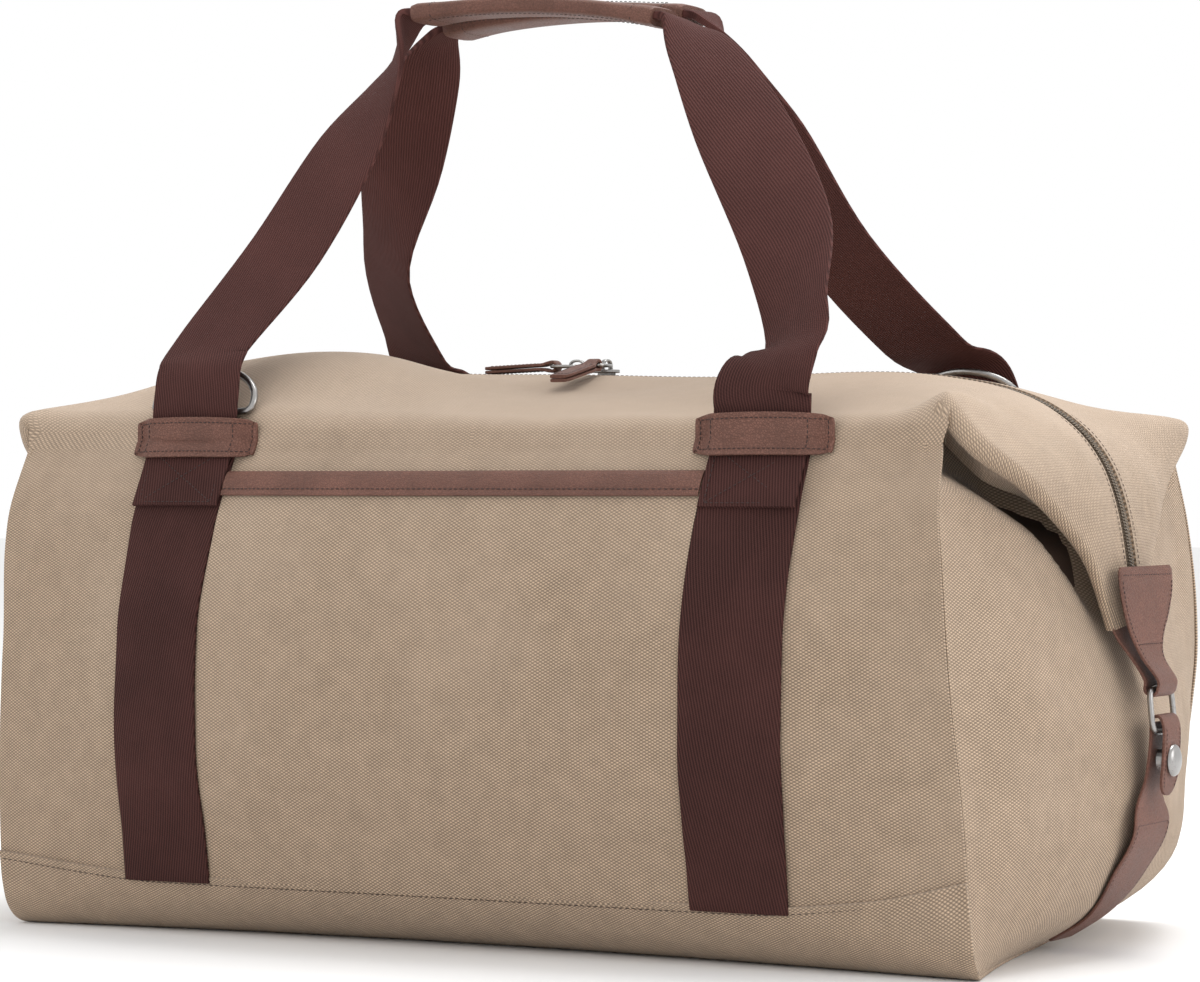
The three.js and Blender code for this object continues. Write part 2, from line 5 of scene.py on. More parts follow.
import bpy
import numpy as np
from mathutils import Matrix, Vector


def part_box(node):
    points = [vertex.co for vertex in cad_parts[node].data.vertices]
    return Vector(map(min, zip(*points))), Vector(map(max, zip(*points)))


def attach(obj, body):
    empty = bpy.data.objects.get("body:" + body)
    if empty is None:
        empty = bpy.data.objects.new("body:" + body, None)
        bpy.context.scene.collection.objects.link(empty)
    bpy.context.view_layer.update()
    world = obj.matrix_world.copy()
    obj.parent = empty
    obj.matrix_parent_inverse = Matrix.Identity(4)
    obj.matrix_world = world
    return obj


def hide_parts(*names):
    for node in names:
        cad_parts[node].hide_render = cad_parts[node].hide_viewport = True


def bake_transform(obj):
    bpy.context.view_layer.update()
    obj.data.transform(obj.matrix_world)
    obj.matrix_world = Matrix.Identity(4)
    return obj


bl_info = {
    "name": "Canvas duffel bag",
    "version": (1, 0, 0),
    "blender": (4, 5, 0),
    "location": "View3D > Sidebar > Duffel",
    "description": "Builds a stuffed canvas duffel with webbing handles, leather trim and a zipped top",
    "category": "Object",
}

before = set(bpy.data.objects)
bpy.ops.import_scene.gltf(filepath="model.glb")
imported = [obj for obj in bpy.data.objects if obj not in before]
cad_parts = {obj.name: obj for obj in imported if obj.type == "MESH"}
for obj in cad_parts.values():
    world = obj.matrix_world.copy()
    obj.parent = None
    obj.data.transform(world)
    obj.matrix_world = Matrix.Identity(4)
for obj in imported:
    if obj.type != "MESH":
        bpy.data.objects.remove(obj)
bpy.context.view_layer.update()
MM = 0.001

# ---------- places taken from the frame, in millimetres ----------


def node_box(name):
    return [np.array(corner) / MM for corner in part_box(name)]


STRAP_LOW, STRAP_HIGH = node_box("strap_front_right")
STRAP_X = (STRAP_LOW[0] + STRAP_HIGH[0]) / 2
WEBBING = STRAP_HIGH[0] - STRAP_LOW[0]
BASE_TOP = node_box("base_panel")[1][2]
RIDGE = node_box("front_lip")[1][2]
ZIP_END = node_box("zip_teeth_front")[1][0]
BINDING_LOW, BINDING_TOP = (node_box("pocket_binding")[k][2] for k in (0, 1))
POCKET_HALF = node_box("pocket_panel")[1][0]
GRIP_LOW, GRIP_HIGH = node_box("front_grip")
GRIP_MID = (GRIP_LOW[0] + GRIP_HIGH[0]) / 2
GRIP_LENGTH = GRIP_HIGH[0] - GRIP_LOW[0]
RIM = 243.0
RIM_DEPTH = 120.0
CORNER_X = 250.0
CANVAS_EDGE = 6.5
LIP_HINGE = 113.8
GRIP_OUT = 16.0
TOOTH = (3.5, 1.15, 1.3)
TOOTH_PITCH = 1.55
WELD = 2e-6

# ---------- small maths ----------


def ramp(t):
    s = np.clip(t, 0.0, 1.0)
    return s * s * (3 - 2 * s)


def bump(x, middle, width):
    return np.exp(-(((x - middle) / width) ** 2))


def smooth_curve(knots):
    """A curve through (place, value) pairs that never swings past them."""
    xs, ys = (np.array(c, float) for c in zip(*knots))
    h = np.diff(xs)
    d = np.diff(ys) / h
    m = np.zeros(len(xs))
    m[0], m[-1] = d[0], d[-1]
    for i in range(1, len(xs) - 1):
        if d[i - 1] * d[i] > 0:
            w1, w2 = 2 * h[i] + h[i - 1], h[i] + 2 * h[i - 1]
            m[i] = (w1 + w2) / (w1 / d[i - 1] + w2 / d[i])

    def value(x):
        x = np.clip(np.asarray(x, float), xs[0], xs[-1])
        i = np.clip(np.searchsorted(xs, x, side="right") - 1, 0, len(h) - 1)
        t = (x - xs[i]) / h[i]
        return (
            ys[i] * (1 + 2 * t) * (1 - t) ** 2
            + m[i] * h[i] * t * (1 - t) ** 2
            + ys[i + 1] * t * t * (3 - 2 * t)
            + m[i + 1] * h[i] * t * t * (t - 1)
        )

    return value


def ripple(a, b, seed, size):
    """Soft uneven waves over a plane, between about -1 and 1."""
    rng = np.random.RandomState(seed)
    total = 0.0
    for _ in range(7):
        turn, phase = rng.uniform(0, math.pi), rng.uniform(0, 2 * math.pi)
        k = 2 * math.pi / (size * rng.uniform(0.7, 1.7))
        total = total + np.sin(k * (math.cos(turn) * a + math.sin(turn) * b) + phase)
    return total / 3.6


def unit(v):
    return v / np.maximum(np.linalg.norm(v, axis=-1, keepdims=True), 1e-9)


def lay(*parts):
    """Points, or flat places in the cloth, from their separate distances."""
    return np.stack(np.broadcast_arrays(*parts), -1)


def signed(v, power):
    return np.sign(v) * abs(v) ** power


def smooth_path(stations, times):
    """Rows of numbers eased through the stations, times new rows between each two."""
    rows = np.array(stations, float)
    start, end = 2 * rows[0] - rows[1], 2 * rows[-1] - rows[-2]
    rows = np.vstack([start, rows, end])
    out = []
    for i in range(1, len(rows) - 2):
        p0, p1, p2, p3 = rows[i - 1 : i + 3]
        for k in range(times):
            t = k / times
            square = (2 * p0 - 5 * p1 + 4 * p2 - p3) * t * t
            cube = (3 * p1 - p0 - 3 * p2 + p3) * t**3
            out.append(0.5 * (2 * p1 + (p2 - p0) * t + square + cube))
    out.append(rows[-2])
    return np.array(out)


# ---------- the stuffed shape: distances out from the middle, by height in millimetres ----------

half_length = smooth_curve([(0, 264), (60, 264), (120, 262), (190, 258), (RIM, 253)])
corner_depth = smooth_curve([(0, 143), (45, 145), (120, 145), (200, 135), (RIM, 120)])
belly_depth = smooth_curve([(0, 143), (45, 152), (100, 164.5), (150, 163), (200, 146.5), (RIM, 120)])
end_bulge = smooth_curve([(0, 0), (25, 13), (60, 26), (105, 32), (135, 26), (160, 19), (210, 8), (RIM, 2)])

# how much farther out than the plain shape each upright corner stands, by height
CORNER_SHIFT = {
    (1, -1): smooth_curve([(0, 8), (45, 4), (100, 0), (150, -4), (RIM, -9), (260, -9)]),
    (-1, -1): smooth_curve([(0, -9), (28, -4), (90, -2), (140, -1), (190, 6), (216, 8), (260, 7)]),
    (1, 1): smooth_curve([(0, -9), (40, -7), (65, -4), (90, 0), (116, 4), (141, 7), (190, 9),
                          (260, 9)]),
    (-1, 1): smooth_curve([(0, -6), (90, 0), (190, 5), (260, 5)]),
}
seam_height = smooth_curve([(-264, 37), (-157, 29), (157, 29), (215, 34), (264, 45)])


def end_tuck(y, z):
    """The rear half of each end rolls under before it meets the floor."""
    t = np.clip((y + 143) / 286, 0, 1)
    reach = 28 + 22 * np.clip(y / 143, 0, 1)
    return 50 * t * np.clip(1 - z / reach, 0, 1) ** 2


def corner_place(z, side_x, side_y):
    """How far out along X the upright corner stands."""
    z = np.asarray(z, float)
    return half_length(z) + CORNER_SHIFT[side_x, side_y](z) - end_tuck(side_y * 143.0, z)


def wall_depth(x, z, side):
    """How far a long wall stands from the middle, folds and rounded foot included."""
    z = np.asarray(z, float)
    c, r = corner_depth(z), x / half_length(z)
    y = c + (belly_depth(z) - c) * (1 - r * r)
    foot = 14 + 24 * np.clip(1 - (x / 255.0) ** 2, 0, 1)
    y = y - foot + np.sqrt(np.maximum(foot**2 - np.clip(foot - z, 0, foot) ** 2, 0))
    if side > 0:
        y = y + 6 * ramp((z - 60) / 120) * np.clip(r, 0, 1.1) ** 6
    else:
        y = y - 3.6 * ramp((x - 200) / 42) * bump(z, 236, 15)
    calm = ramp((z - 44) / 22) * (0.35 + 0.65 * ramp((half_length(z) - abs(x)) / 26))
    folds = 1.3 * ripple(x, z * 1.3, 5 + side, 150) + 0.45 * ripple(x, z, 9 + side, 60)
    near_fold = bump(x, 232, 20) * ramp((z - 120) / 80) * ramp((RIM + 8 - z) / 30)
    drag = bump(x - 0.55 * (z - 235), 196, 9) * ramp((z - 150) / 60)
    return y + calm * folds - 2.6 * near_fold - 1.2 * drag


def end_reach(y, z, side):
    """How far an end wall stands from the middle."""
    z = np.asarray(z, float)
    r = y / corner_depth(z)
    x = half_length(z) + (end_bulge(z) + 5 * bump(z, 52, 26)) * (1 - r * r)
    toward_rear = ramp((r + 1) / 2)
    shift = CORNER_SHIFT[side, -1](z) * (1 - toward_rear) + CORNER_SHIFT[side, 1](z) * toward_rear
    x = x + shift * r * r - end_tuck(y, z)
    calm = ramp((z - 4) / 30) * ramp((1 - abs(r)) / 0.18)
    folds = 1.7 * ripple(y * 1.1, z, 21 + side, 120) + 0.5 * ripple(y, z, 24 + side, 50)
    roof = np.interp(abs(y), [14, 31, 56, 86, 112], [150, 172, 192, 206, 216])
    return x + calm * folds - 32 * ramp((z - roof) / 34) * ramp(abs(y) / 40) * ramp((1 - abs(r)) / 0.1)


def end_at(x, y, z):
    """The reach of whichever end wall x points to."""
    return np.where(x > 0, end_reach(y, z, 1), end_reach(y, z, -1))


# the middle line of the folded end, as (out, up), and how wide it is at each of those places
WING_PATH = np.array(
    [(199.5, 276.2), (221, 270.5), (241.5, 263), (257.5, 253.5), (270, 242), (280, 226)]
    + [(286.5, 205), (290.4, 180), (292.2, 156)]
)
WING_HALF = np.array([112, 112, 112, 112, 106, 83, 55, 30, 17.0])
_steps = np.hypot(*np.diff(WING_PATH, axis=0).T)
WING_RUN = WING_PATH[0, 0] + np.concatenate([[0], np.cumsum(_steps)])
wing_x = smooth_curve(list(zip([0, *WING_RUN], [0, *WING_PATH[:, 0]])))
wing_z = smooth_curve(list(zip([0, *WING_RUN], [344, *WING_PATH[:, 1]])))
wing_half = smooth_curve(list(zip([0, *WING_RUN], [112, *WING_HALF])))


def folded(run):
    """0 on the top, 1 where the folded end hangs."""
    return ramp((run - WING_RUN[2]) / (WING_RUN[4] - WING_RUN[2]))


def ridge_rise(x):
    return 3.0 * bump(x, -130, 50) - 3.0 * bump(x, 80, 70)


stuffing = smooth_curve(
    [(-275, 5), (-235, 11), (-200, 17), (-140, 22), (-100, 19), (-63, 11), (-25, 3), (20, 0), (90, 1)]
    + [(150, 3), (200, 2), (260, 3)]
)


def top_height(x, y, run):
    """Height of the zipped top: two slopes to the zip, and the folded end that cuts across them."""
    slope = RIDGE + 0.6 - 0.234 * np.maximum(0, abs(y) - 12)
    puff = bump(abs(y), 62, 42) * ramp((abs(y) - 9) / 34) * stuffing(x) * np.where(y < 0, 1.0, 0.55)
    puff = puff + 1.6 * ripple(x, y * 1.2, 31, 110) * ramp((abs(y) - 14) / 30)
    dip = 2.2 * bump(x, 168, 30) * bump(y, -70, 34) + 9 * bump(x, 222, 34) * ramp((y - 20) / 60)
    a = slope + ridge_rise(x) * (1 - abs(y) / 120) + puff - dip
    b = wing_z(run) + 0.8 * ripple(x * 1.3, y, 37, 70) * ramp((abs(y) - 10) / 30)
    b = b + 0.35 * puff * (x < 0)
    k = 5.0
    low = np.minimum(a, b)
    return low - k * np.log(np.exp(-(a - low) / k) + np.exp(-(b - low) / k))


# ---------- building in Blender ----------


def only(obj):
    bpy.ops.object.select_all(action="DESELECT")
    obj.select_set(True)
    bpy.context.view_layer.objects.active = obj


def modify(obj, kind, **settings):
    only(obj)
    m = obj.modifiers.new(kind.title(), kind)
    for key, value in settings.items():
        setattr(m, key, value)
    bpy.ops.object.modifier_apply(modifier=m.name)


def edit(obj, *jobs):
    only(obj)
    bpy.ops.object.mode_set(mode="EDIT")
    bpy.ops.mesh.select_all(action="SELECT")
    for job, settings in jobs:
        getattr(bpy.ops.mesh, job)(**settings)
    bpy.ops.object.mode_set(mode="OBJECT")


def drape(name, places, cloth, keep=None, centre=(0, 0, 130), facing=None):
    """A grid primitive whose vertices are moved to places[i, j]; cloth[i, j] is the flat
    position that the weave follows. Both are in millimetres."""
    nu, nv = places.shape[0] - 1, places.shape[1] - 1
    bpy.ops.object.select_all(action="DESELECT")
    bpy.ops.mesh.primitive_grid_add(x_subdivisions=nu, y_subdivisions=nv, size=1.0)
    obj = bpy.context.object
    obj.name = obj.data.name = name
    mesh = obj.data
    co = np.zeros(len(mesh.vertices) * 3, np.float32)
    mesh.vertices.foreach_get("co", co)
    co = co.reshape(-1, 3)
    i = np.rint((co[:, 0] + 0.5) * nu).astype(int)
    j = np.rint((co[:, 1] + 0.5) * nv).astype(int)
    new = places[i, j] * MM
    mesh.vertices.foreach_set("co", new.astype(np.float32).ravel())
    layer = mesh.uv_layers.get("UVMap") or mesh.uv_layers.new(name="UVMap")
    index = np.zeros(len(mesh.loops), np.int32)
    mesh.loops.foreach_get("vertex_index", index)
    uv = (cloth[i, j] * MM)[index]
    layer.data.foreach_set("uv", uv.astype(np.float32).ravel())
    mesh.update()
    if keep is not None:
        drop = [not keep[min(i[v] for v in p.vertices), min(j[v] for v in p.vertices)] for p in mesh.polygons]
        only(obj)
        bpy.context.tool_settings.mesh_select_mode = (False, False, True)
        mesh.polygons.foreach_set("select", drop)
        bpy.ops.object.mode_set(mode="EDIT")
        bpy.ops.mesh.delete(type="FACE")
        bpy.ops.object.mode_set(mode="OBJECT")
    total = 0.0
    for p in mesh.polygons:
        away = Vector(facing) if facing else p.center - Vector(centre) * MM
        total += p.normal.dot(away) * p.area
    if total < 0:
        edit(obj, ("flip_normals", {}))
    return obj


def thicken(obj, thickness, bevel=0.0):
    modify(obj, "SOLIDIFY", thickness=thickness * MM, offset=-1.0, use_even_offset=False)
    if bevel:
        angle = math.radians(50)
        modify(obj, "BEVEL", width=bevel * MM, segments=2, limit_method="ANGLE", angle_limit=angle)


def smooth(obj, angle=50):
    only(obj)
    bpy.ops.object.shade_smooth_by_angle(angle=math.radians(angle))
    return obj


def panel(name, places, cloth, thickness, angle=60, bevel=0.0, **how):
    """A draped sheet given its thickness."""
    obj = drape(name, places, cloth, **how)
    thicken(obj, thickness, bevel)
    return smooth(obj, angle)


def seal(obj, angle, open_ends=False):
    """Weld a piece that closes on itself, cap its open ends and turn its faces outwards."""
    caps = [("fill_holes", {"sides": 0})] if open_ends else []
    edit(
        obj, ("remove_doubles", {"threshold": WELD}), *caps, ("select_all", {"action": "SELECT"}),
        ("normals_make_consistent", {"inside": False}),
    )
    return smooth(obj, angle)


def frames(path, side, closed):
    """The way ahead, the side way and the way out at each point of a path."""
    run = unit(np.roll(path, -1, 0) - np.roll(path, 1, 0) if closed else np.gradient(path, axis=0))
    side = np.broadcast_to(np.asarray(side, float), path.shape)
    side = unit(side - (side * run).sum(1, keepdims=True) * run)
    return run, side, np.cross(side, run)


def lengths(path):
    """How far along a path each of its points lies."""
    return np.concatenate([[0], np.cumsum(np.linalg.norm(np.diff(path, axis=0), axis=1))])


def sweep(name, path, side, width, thick, square=0.4, closed=False, around=16):
    """A band or wire: one section carried along a path. square 1 is round, 0.3 nearly a box."""
    path = np.asarray(path, float)
    n = len(path)
    _, side, normal = frames(path, side, closed)
    width, thick = np.broadcast_to(width, (n,)), np.broadcast_to(thick, (n,))
    a = np.linspace(0, 2 * math.pi, around + 1)
    cx, cy = signed(np.cos(a), square), signed(np.sin(a), square)
    cx[-1], cy[-1] = cx[0], cy[0]
    places = (
        path[:, None]
        + side[:, None] * (cx[None, :, None] * width[:, None, None] / 2)
        + normal[:, None] * (cy[None, :, None] * thick[:, None, None] / 2)
    )
    length = lengths(path)
    across = cx[None, :] * width[:, None] / 2
    if closed:
        places = np.concatenate([places, places[:1]])
        length = np.append(length, length[-1] + np.linalg.norm(path[0] - path[-1]))
        across = np.concatenate([across, across[:1]])
    return seal(drape(name, places, lay(across, length[:, None])), 50, not closed)


def turned(name, profile, centre, axis, around=28):
    """A round piece from (radius, height) pairs about an axis."""
    axis = unit(np.array(axis, float))
    across = unit(np.cross(axis, [0.0, 1.0, 0.3]))
    other = np.cross(axis, across)
    a = np.linspace(0, 2 * math.pi, around + 1)
    ring = across * np.cos(a)[:, None] + other * np.sin(a)[:, None]
    ring[-1] = ring[0]
    radius, height = np.array(profile, float).T
    places = np.array(centre, float) + axis * height[:, None, None] + ring[None] * radius[:, None, None]
    cloth = np.stack(np.meshgrid(height, a * radius.max(), indexing="ij"), -1)
    return seal(drape(name, places, cloth), 35)


def bead():
    """The small capsule that every stitch and zip tooth is copied from."""
    bpy.ops.object.select_all(action="DESELECT")
    bpy.ops.mesh.primitive_uv_sphere_add(segments=6, ring_count=4, radius=0.5)
    obj = bpy.context.object
    verts = np.array([v.co[:] for v in obj.data.vertices])
    faces = [tuple(p.vertices) for p in obj.data.polygons]
    bpy.data.objects.remove(obj)
    verts[:, 2] = np.sign(verts[:, 2]) * (abs(verts[:, 2]) * 2) ** 0.7 / 2
    return verts, faces


_bead = {}


def copies(name, centres, along, up, length, width, height):
    """Copies of the bead laid along a line, in one mesh."""
    if not _bead:
        _bead["shape"] = bead()
    verts, faces = _bead["shape"]
    centres, along = np.asarray(centres, float), unit(np.asarray(along, float))
    up = np.broadcast_to(np.asarray(up, float), centres.shape)
    up = unit(up - (up * along).sum(1, keepdims=True) * along)
    cross = np.cross(up, along)
    out = (
        centres[:, None]
        + along[:, None] * (verts[None, :, 2:3] * length)
        + cross[:, None] * (verts[None, :, 0:1] * width)
        + up[:, None] * (verts[None, :, 1:2] * height)
    ).reshape(-1, 3)
    n, m = len(centres), len(verts)
    every = [tuple(k * m + v for v in f) for k in range(n) for f in faces]
    mesh = bpy.data.meshes.new(name)
    mesh.from_pydata((out * MM).tolist(), [], every)
    mesh.polygons.foreach_set("use_smooth", [True] * len(mesh.polygons))
    mesh.update()
    obj = bpy.data.objects.new(name, mesh)
    bpy.context.scene.collection.objects.link(obj)
    edit(obj, ("normals_make_consistent", {"inside": False}))
    return obj


def spaced(points, pitch, extra):
    """Points every pitch along a line, the direction there and the values that go with it."""
    points = np.asarray(points, float)
    length = lengths(points)
    count = max(2, int(round(length[-1] / pitch)))
    at = (np.arange(count) + 0.5) * length[-1] / count

    def read(rows, where):
        return np.stack([np.interp(where, length, rows[:, k]) for k in range(3)], 1)

    return read(points, at), unit(read(points, at + 0.4) - read(points, at - 0.4)), read(extra, at)


def settings():
    return bpy.context.scene.duffel_settings


def sew(name, lines, body, blend=None, pitch=None, thread=0.62, lift=0.12):
    """Stitches along lines, each (points, up): one mesh, riding with the cloth it holds."""
    pitch = pitch or settings().stitch_pitch / MM
    rows = []
    for points, up in lines:
        up = np.broadcast_to(np.asarray(up, float), points.shape)
        spots, ways, ups = spaced(points, pitch, up)
        rows.append((spots + unit(ups) * lift, ways, ups))
    spots, ways, ups = (np.concatenate(part) for part in zip(*rows))
    obj = copies(name, spots, ways, ups, pitch * 0.7, thread, thread * 0.8)
    finish(obj, "thread", body, blend=blend)


MATERIALS = {}


def finish(obj, material, body, replaces=(), blend=None):
    """Gives a piece its material, the body it follows and the CAD nodes it stands for."""
    obj.data.materials.clear()
    obj.data.materials.append(MATERIALS[material])
    if blend:
        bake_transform(obj)
    else:
        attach(obj, body)
    if replaces:
        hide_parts(*replaces)


def mouth(side_x, side_y):
    """The bend of one quarter of the top: full at the middle of the zip, none at its ends."""
    across, out = ZIP_END + 8, LIP_HINGE
    g = np.array([-side_x / across, -side_y / out, 0.0])
    start = np.array([0.0, side_y * out, RIDGE])
    end = start + g / (g @ g)
    top = "front_top" if side_y < 0 else "rear_top"
    return ("shell", top, tuple(start * MM), tuple(end * MM))


# ---------- materials ----------


def put(tree, kind, inputs=None, **props):
    n = tree.nodes.new(kind)
    for key, value in props.items():
        setattr(n, key, value)
    for key, value in (inputs or {}).items():
        if isinstance(value, bpy.types.NodeSocket):
            tree.links.new(value, n.inputs[key])
        else:
            n.inputs[key].default_value = value
    return n


def calc(tree, operation, a, b=0.0, c=0.0, clamp=False):
    return put(tree, "ShaderNodeMath", {0: a, 1: b, 2: c}, operation=operation, use_clamp=clamp).outputs[0]


def scaled(tree, vector, scale):
    return put(tree, "ShaderNodeVectorMath", {0: vector, "Scale": scale}, operation="SCALE").outputs[0]


def parts_of(tree, vector):
    return put(tree, "ShaderNodeSeparateXYZ", {0: vector}).outputs


def span(tree, value, low, high, to_low=0.0, to_high=1.0):
    limits = {"Value": value, "From Min": low, "From Max": high, "To Min": to_low, "To Max": to_high}
    return put(tree, "ShaderNodeMapRange", limits).outputs["Result"]


def blend_colour(tree, factor, a, b):
    return put(tree, "ShaderNodeMix", {0: factor, 6: a, 7: b}, data_type="RGBA").outputs[2]


def cloth_noise(tree, vector, scale, detail=2.0, rough=0.5):
    given = {"Vector": vector, "Scale": scale, "Detail": detail, "Roughness": rough}
    return put(tree, "ShaderNodeTexNoise", given).outputs[0]


def new_group(name, numbers, outs):
    """A node group that takes a place and named numbers, and its open sockets."""
    tree = bpy.data.node_groups.new(name, "ShaderNodeTree")
    tree.interface.new_socket(name="Vector", in_out="INPUT", socket_type="NodeSocketVector")
    for label, default in numbers.items():
        s = tree.interface.new_socket(name=label, in_out="INPUT", socket_type="NodeSocketFloat")
        s.default_value = default
    for label in outs:
        tree.interface.new_socket(name=label, in_out="OUTPUT", socket_type="NodeSocketFloat")
    source = tree.nodes.new("NodeGroupInput")
    sink = tree.nodes.new("NodeGroupOutput")
    return tree, source.outputs, sink.inputs


def weave_group():
    """Crossing yarns: Height is the rise of each yarn, Tone which of the two is on top."""
    spacings = {"Warp": 1.35, "Weft": 0.74, "Unevenness": 0.45}
    tree, given, out = new_group("Crossing yarns", spacings, ["Height", "Tone"])
    across = parts_of(tree, given["Vector"])
    wander = calc(tree, "SUBTRACT", cloth_noise(tree, given["Vector"], 0.25, 3.0, 0.6), 0.5)
    wander = calc(tree, "MULTIPLY", wander, given["Unevenness"])
    waves = []
    for axis, spacing in ((0, "Warp"), (1, "Weft")):
        yarn = calc(tree, "ADD", calc(tree, "DIVIDE", across[axis], given[spacing]), wander)
        waves.append(calc(tree, "SINE", calc(tree, "MULTIPLY_ADD", yarn, math.pi, 0.4)))
    tone = calc(tree, "MULTIPLY", *waves)
    tree.links.new(calc(tree, "POWER", calc(tree, "ABSOLUTE", tone), 0.55), out["Height"])
    tree.links.new(calc(tree, "MULTIPLY_ADD", tone, 0.5, 0.5), out["Tone"])
    return tree


def wear_and_top_light_group():
    """Faded patches of washed cloth, plus painted top light: cloth that faces up is made paler."""
    tree, given, out = new_group("Washed fade and top light", {"Size": 1.0}, ["Fade", "Mottle"])
    up = parts_of(tree, tree.nodes.new("ShaderNodeNewGeometry").outputs["Normal"])[2]
    broad = cloth_noise(tree, given["Vector"], given["Size"], 4.0, 0.62)
    # painted top light: the more a face looks up, the paler the cloth is made
    facing = span(tree, up, -0.15, 0.95, -0.10, 0.75)
    fade_and_top_light = calc(tree, "MULTIPLY_ADD", calc(tree, "SUBTRACT", broad, 0.5), 1.3, facing, clamp=True)
    fine = calc(tree, "MULTIPLY", given["Size"], 9.0)
    tree.links.new(fade_and_top_light, out["Fade"])
    tree.links.new(cloth_noise(tree, given["Vector"], fine, 5.0, 0.7), out["Mottle"])
    return tree


def hide_group():
    """Pebbled leather grain."""
    tree, given, out = new_group("Pebbled grain", {"Pebble": 0.75}, ["Height", "Crease"])
    bend = put(tree, "ShaderNodeTexNoise", {"Vector": given["Vector"], "Scale": 0.5, "Detail": 2.0})
    offset = scaled(tree, bend.outputs["Color"], 1.4)
    moved = put(tree, "ShaderNodeVectorMath", {0: given["Vector"], 1: offset}, operation="ADD")
    where = {"Vector": moved.outputs[0], "Scale": given["Pebble"]}
    cells = put(tree, "ShaderNodeTexVoronoi", where, feature="DISTANCE_TO_EDGE")
    crease = span(tree, cells.outputs["Distance"], 0.0, 0.22)
    tree.links.new(calc(tree, "POWER", crease, 0.6), out["Height"])
    tree.links.new(calc(tree, "SUBTRACT", 1.0, crease), out["Crease"])
    return tree


def shade(rgb, k=1.0):
    return (rgb[0] * k, rgb[1] * k, rgb[2] * k, 1.0)


def new_material(name, roughness, **fixed):
    mat = bpy.data.materials.new(name)
    mat.use_nodes = True
    shader = mat.node_tree.nodes["Principled BSDF"]
    shader.inputs["Roughness"].default_value = roughness
    for key, value in fixed.items():
        shader.inputs[key.replace("_", " ")].default_value = value
    return mat, mat.node_tree, shader


def flat_cloth(tree):
    """The piece's own flat cloth position in millimetres."""
    return scaled(tree, put(tree, "ShaderNodeUVMap", uv_map="UVMap").outputs[0], 1 / MM)


def place_in_bag(tree):
    return scaled(tree, tree.nodes.new("ShaderNodeTexCoord").outputs["Object"], 1 / MM)


def dress(tree, shader, base, height, distance, strength):
    """Give a shader its colour and its raised surface."""
    tree.links.new(base, shader.inputs["Base Color"])
    raised = {"Height": height, "Distance": distance * MM, "Strength": strength}
    tree.links.new(put(tree, "ShaderNodeBump", raised).outputs[0], shader.inputs["Normal"])


def canvas_material(s, groups):
    rgb = s.canvas_colour
    mat, tree, shader = new_material(
        "Washed canvas", 0.92, Sheen_Weight=0.12, Sheen_Roughness=0.5, Specular_IOR_Level=0.25
    )
    yarns = {"Vector": flat_cloth(tree), "Warp": s.warp_spacing / MM, "Weft": s.weft_spacing / MM}
    weave = put(tree, "ShaderNodeGroup", yarns, node_tree=groups["weave"]).outputs
    washed = {"Vector": place_in_bag(tree), "Size": 0.011}
    wear_and_light = put(tree, "ShaderNodeGroup", washed, node_tree=groups["wear_and_light"]).outputs
    yarn = blend_colour(tree, weave["Tone"], shade(rgb, 0.36), shade(rgb, 1.72))
    spun = scaled(tree, yarn, span(tree, wear_and_light["Mottle"], 0.3, 0.7, 0.88, 1.1))
    gaps = blend_colour(tree, span(tree, weave["Height"], 0.0, 0.5), shade(rgb, 0.42), spun)
    # painted top light: from 212 mm up the cloth is blended towards the pale colour, added to the washed
    # fading and the painted up-facing light
    painted_top_band_light = span(tree, parts_of(tree, place_in_bag(tree))[2], 212, 262, 0, 0.3)
    fade_and_top_light = calc(tree, "ADD", calc(tree, "MULTIPLY", wear_and_light["Fade"], 0.5), painted_top_band_light)
    faded_and_lit = blend_colour(tree, fade_and_top_light, gaps, shade(s.faded_and_lit_colour))
    dress(tree, shader, faded_and_lit, weave["Height"], 0.22, 0.85)
    return mat


def webbing_material(rgb):
    mat, tree, shader = new_material("Ribbed webbing", 0.8, Specular_IOR_Level=0.12)
    cloth = flat_cloth(tree)
    across, along, _ = parts_of(tree, cloth)
    uneven = calc(tree, "MULTIPLY", cloth_noise(tree, cloth, 0.7, 3.0, 0.6), 1.6)
    slant = calc(tree, "MULTIPLY_ADD", along, 0.2, across)
    rib = calc(tree, "SINE", calc(tree, "MULTIPLY_ADD", slant, 2 * math.pi / 1.45, uneven))
    lean = calc(tree, "MULTIPLY", slant, 2.2)
    tuck = calc(tree, "SINE", calc(tree, "MULTIPLY_ADD", along, 2 * math.pi / 0.9, lean))
    height = calc(tree, "MULTIPLY_ADD", tuck, 0.3, rib)
    tone = span(tree, height, -1.2, 1.2)
    body = blend_colour(tree, tone, shade(rgb, 0.42), shade(rgb, 1.55))
    rubbed_and_lit = span(tree, cloth_noise(tree, place_in_bag(tree), 0.02, 4.0, 0.6), 0.4, 0.75, 0.0, 0.3)
    # painted light: the webbing is made paler the higher it rises, from 250 mm up the handles
    painted_handle_light = span(tree, parts_of(tree, place_in_bag(tree))[2], 250, 330, 0, 0.4)
    rubbed_and_lit = calc(tree, "ADD", rubbed_and_lit, painted_handle_light)
    # pale colour for both the random rubbed patches and the painted handle light
    pale = blend_colour(tree, tone, shade(rgb, 1.6), shade(rgb, 3.0))
    dress(tree, shader, blend_colour(tree, rubbed_and_lit, body, pale), height, 0.16, 0.8)
    return mat


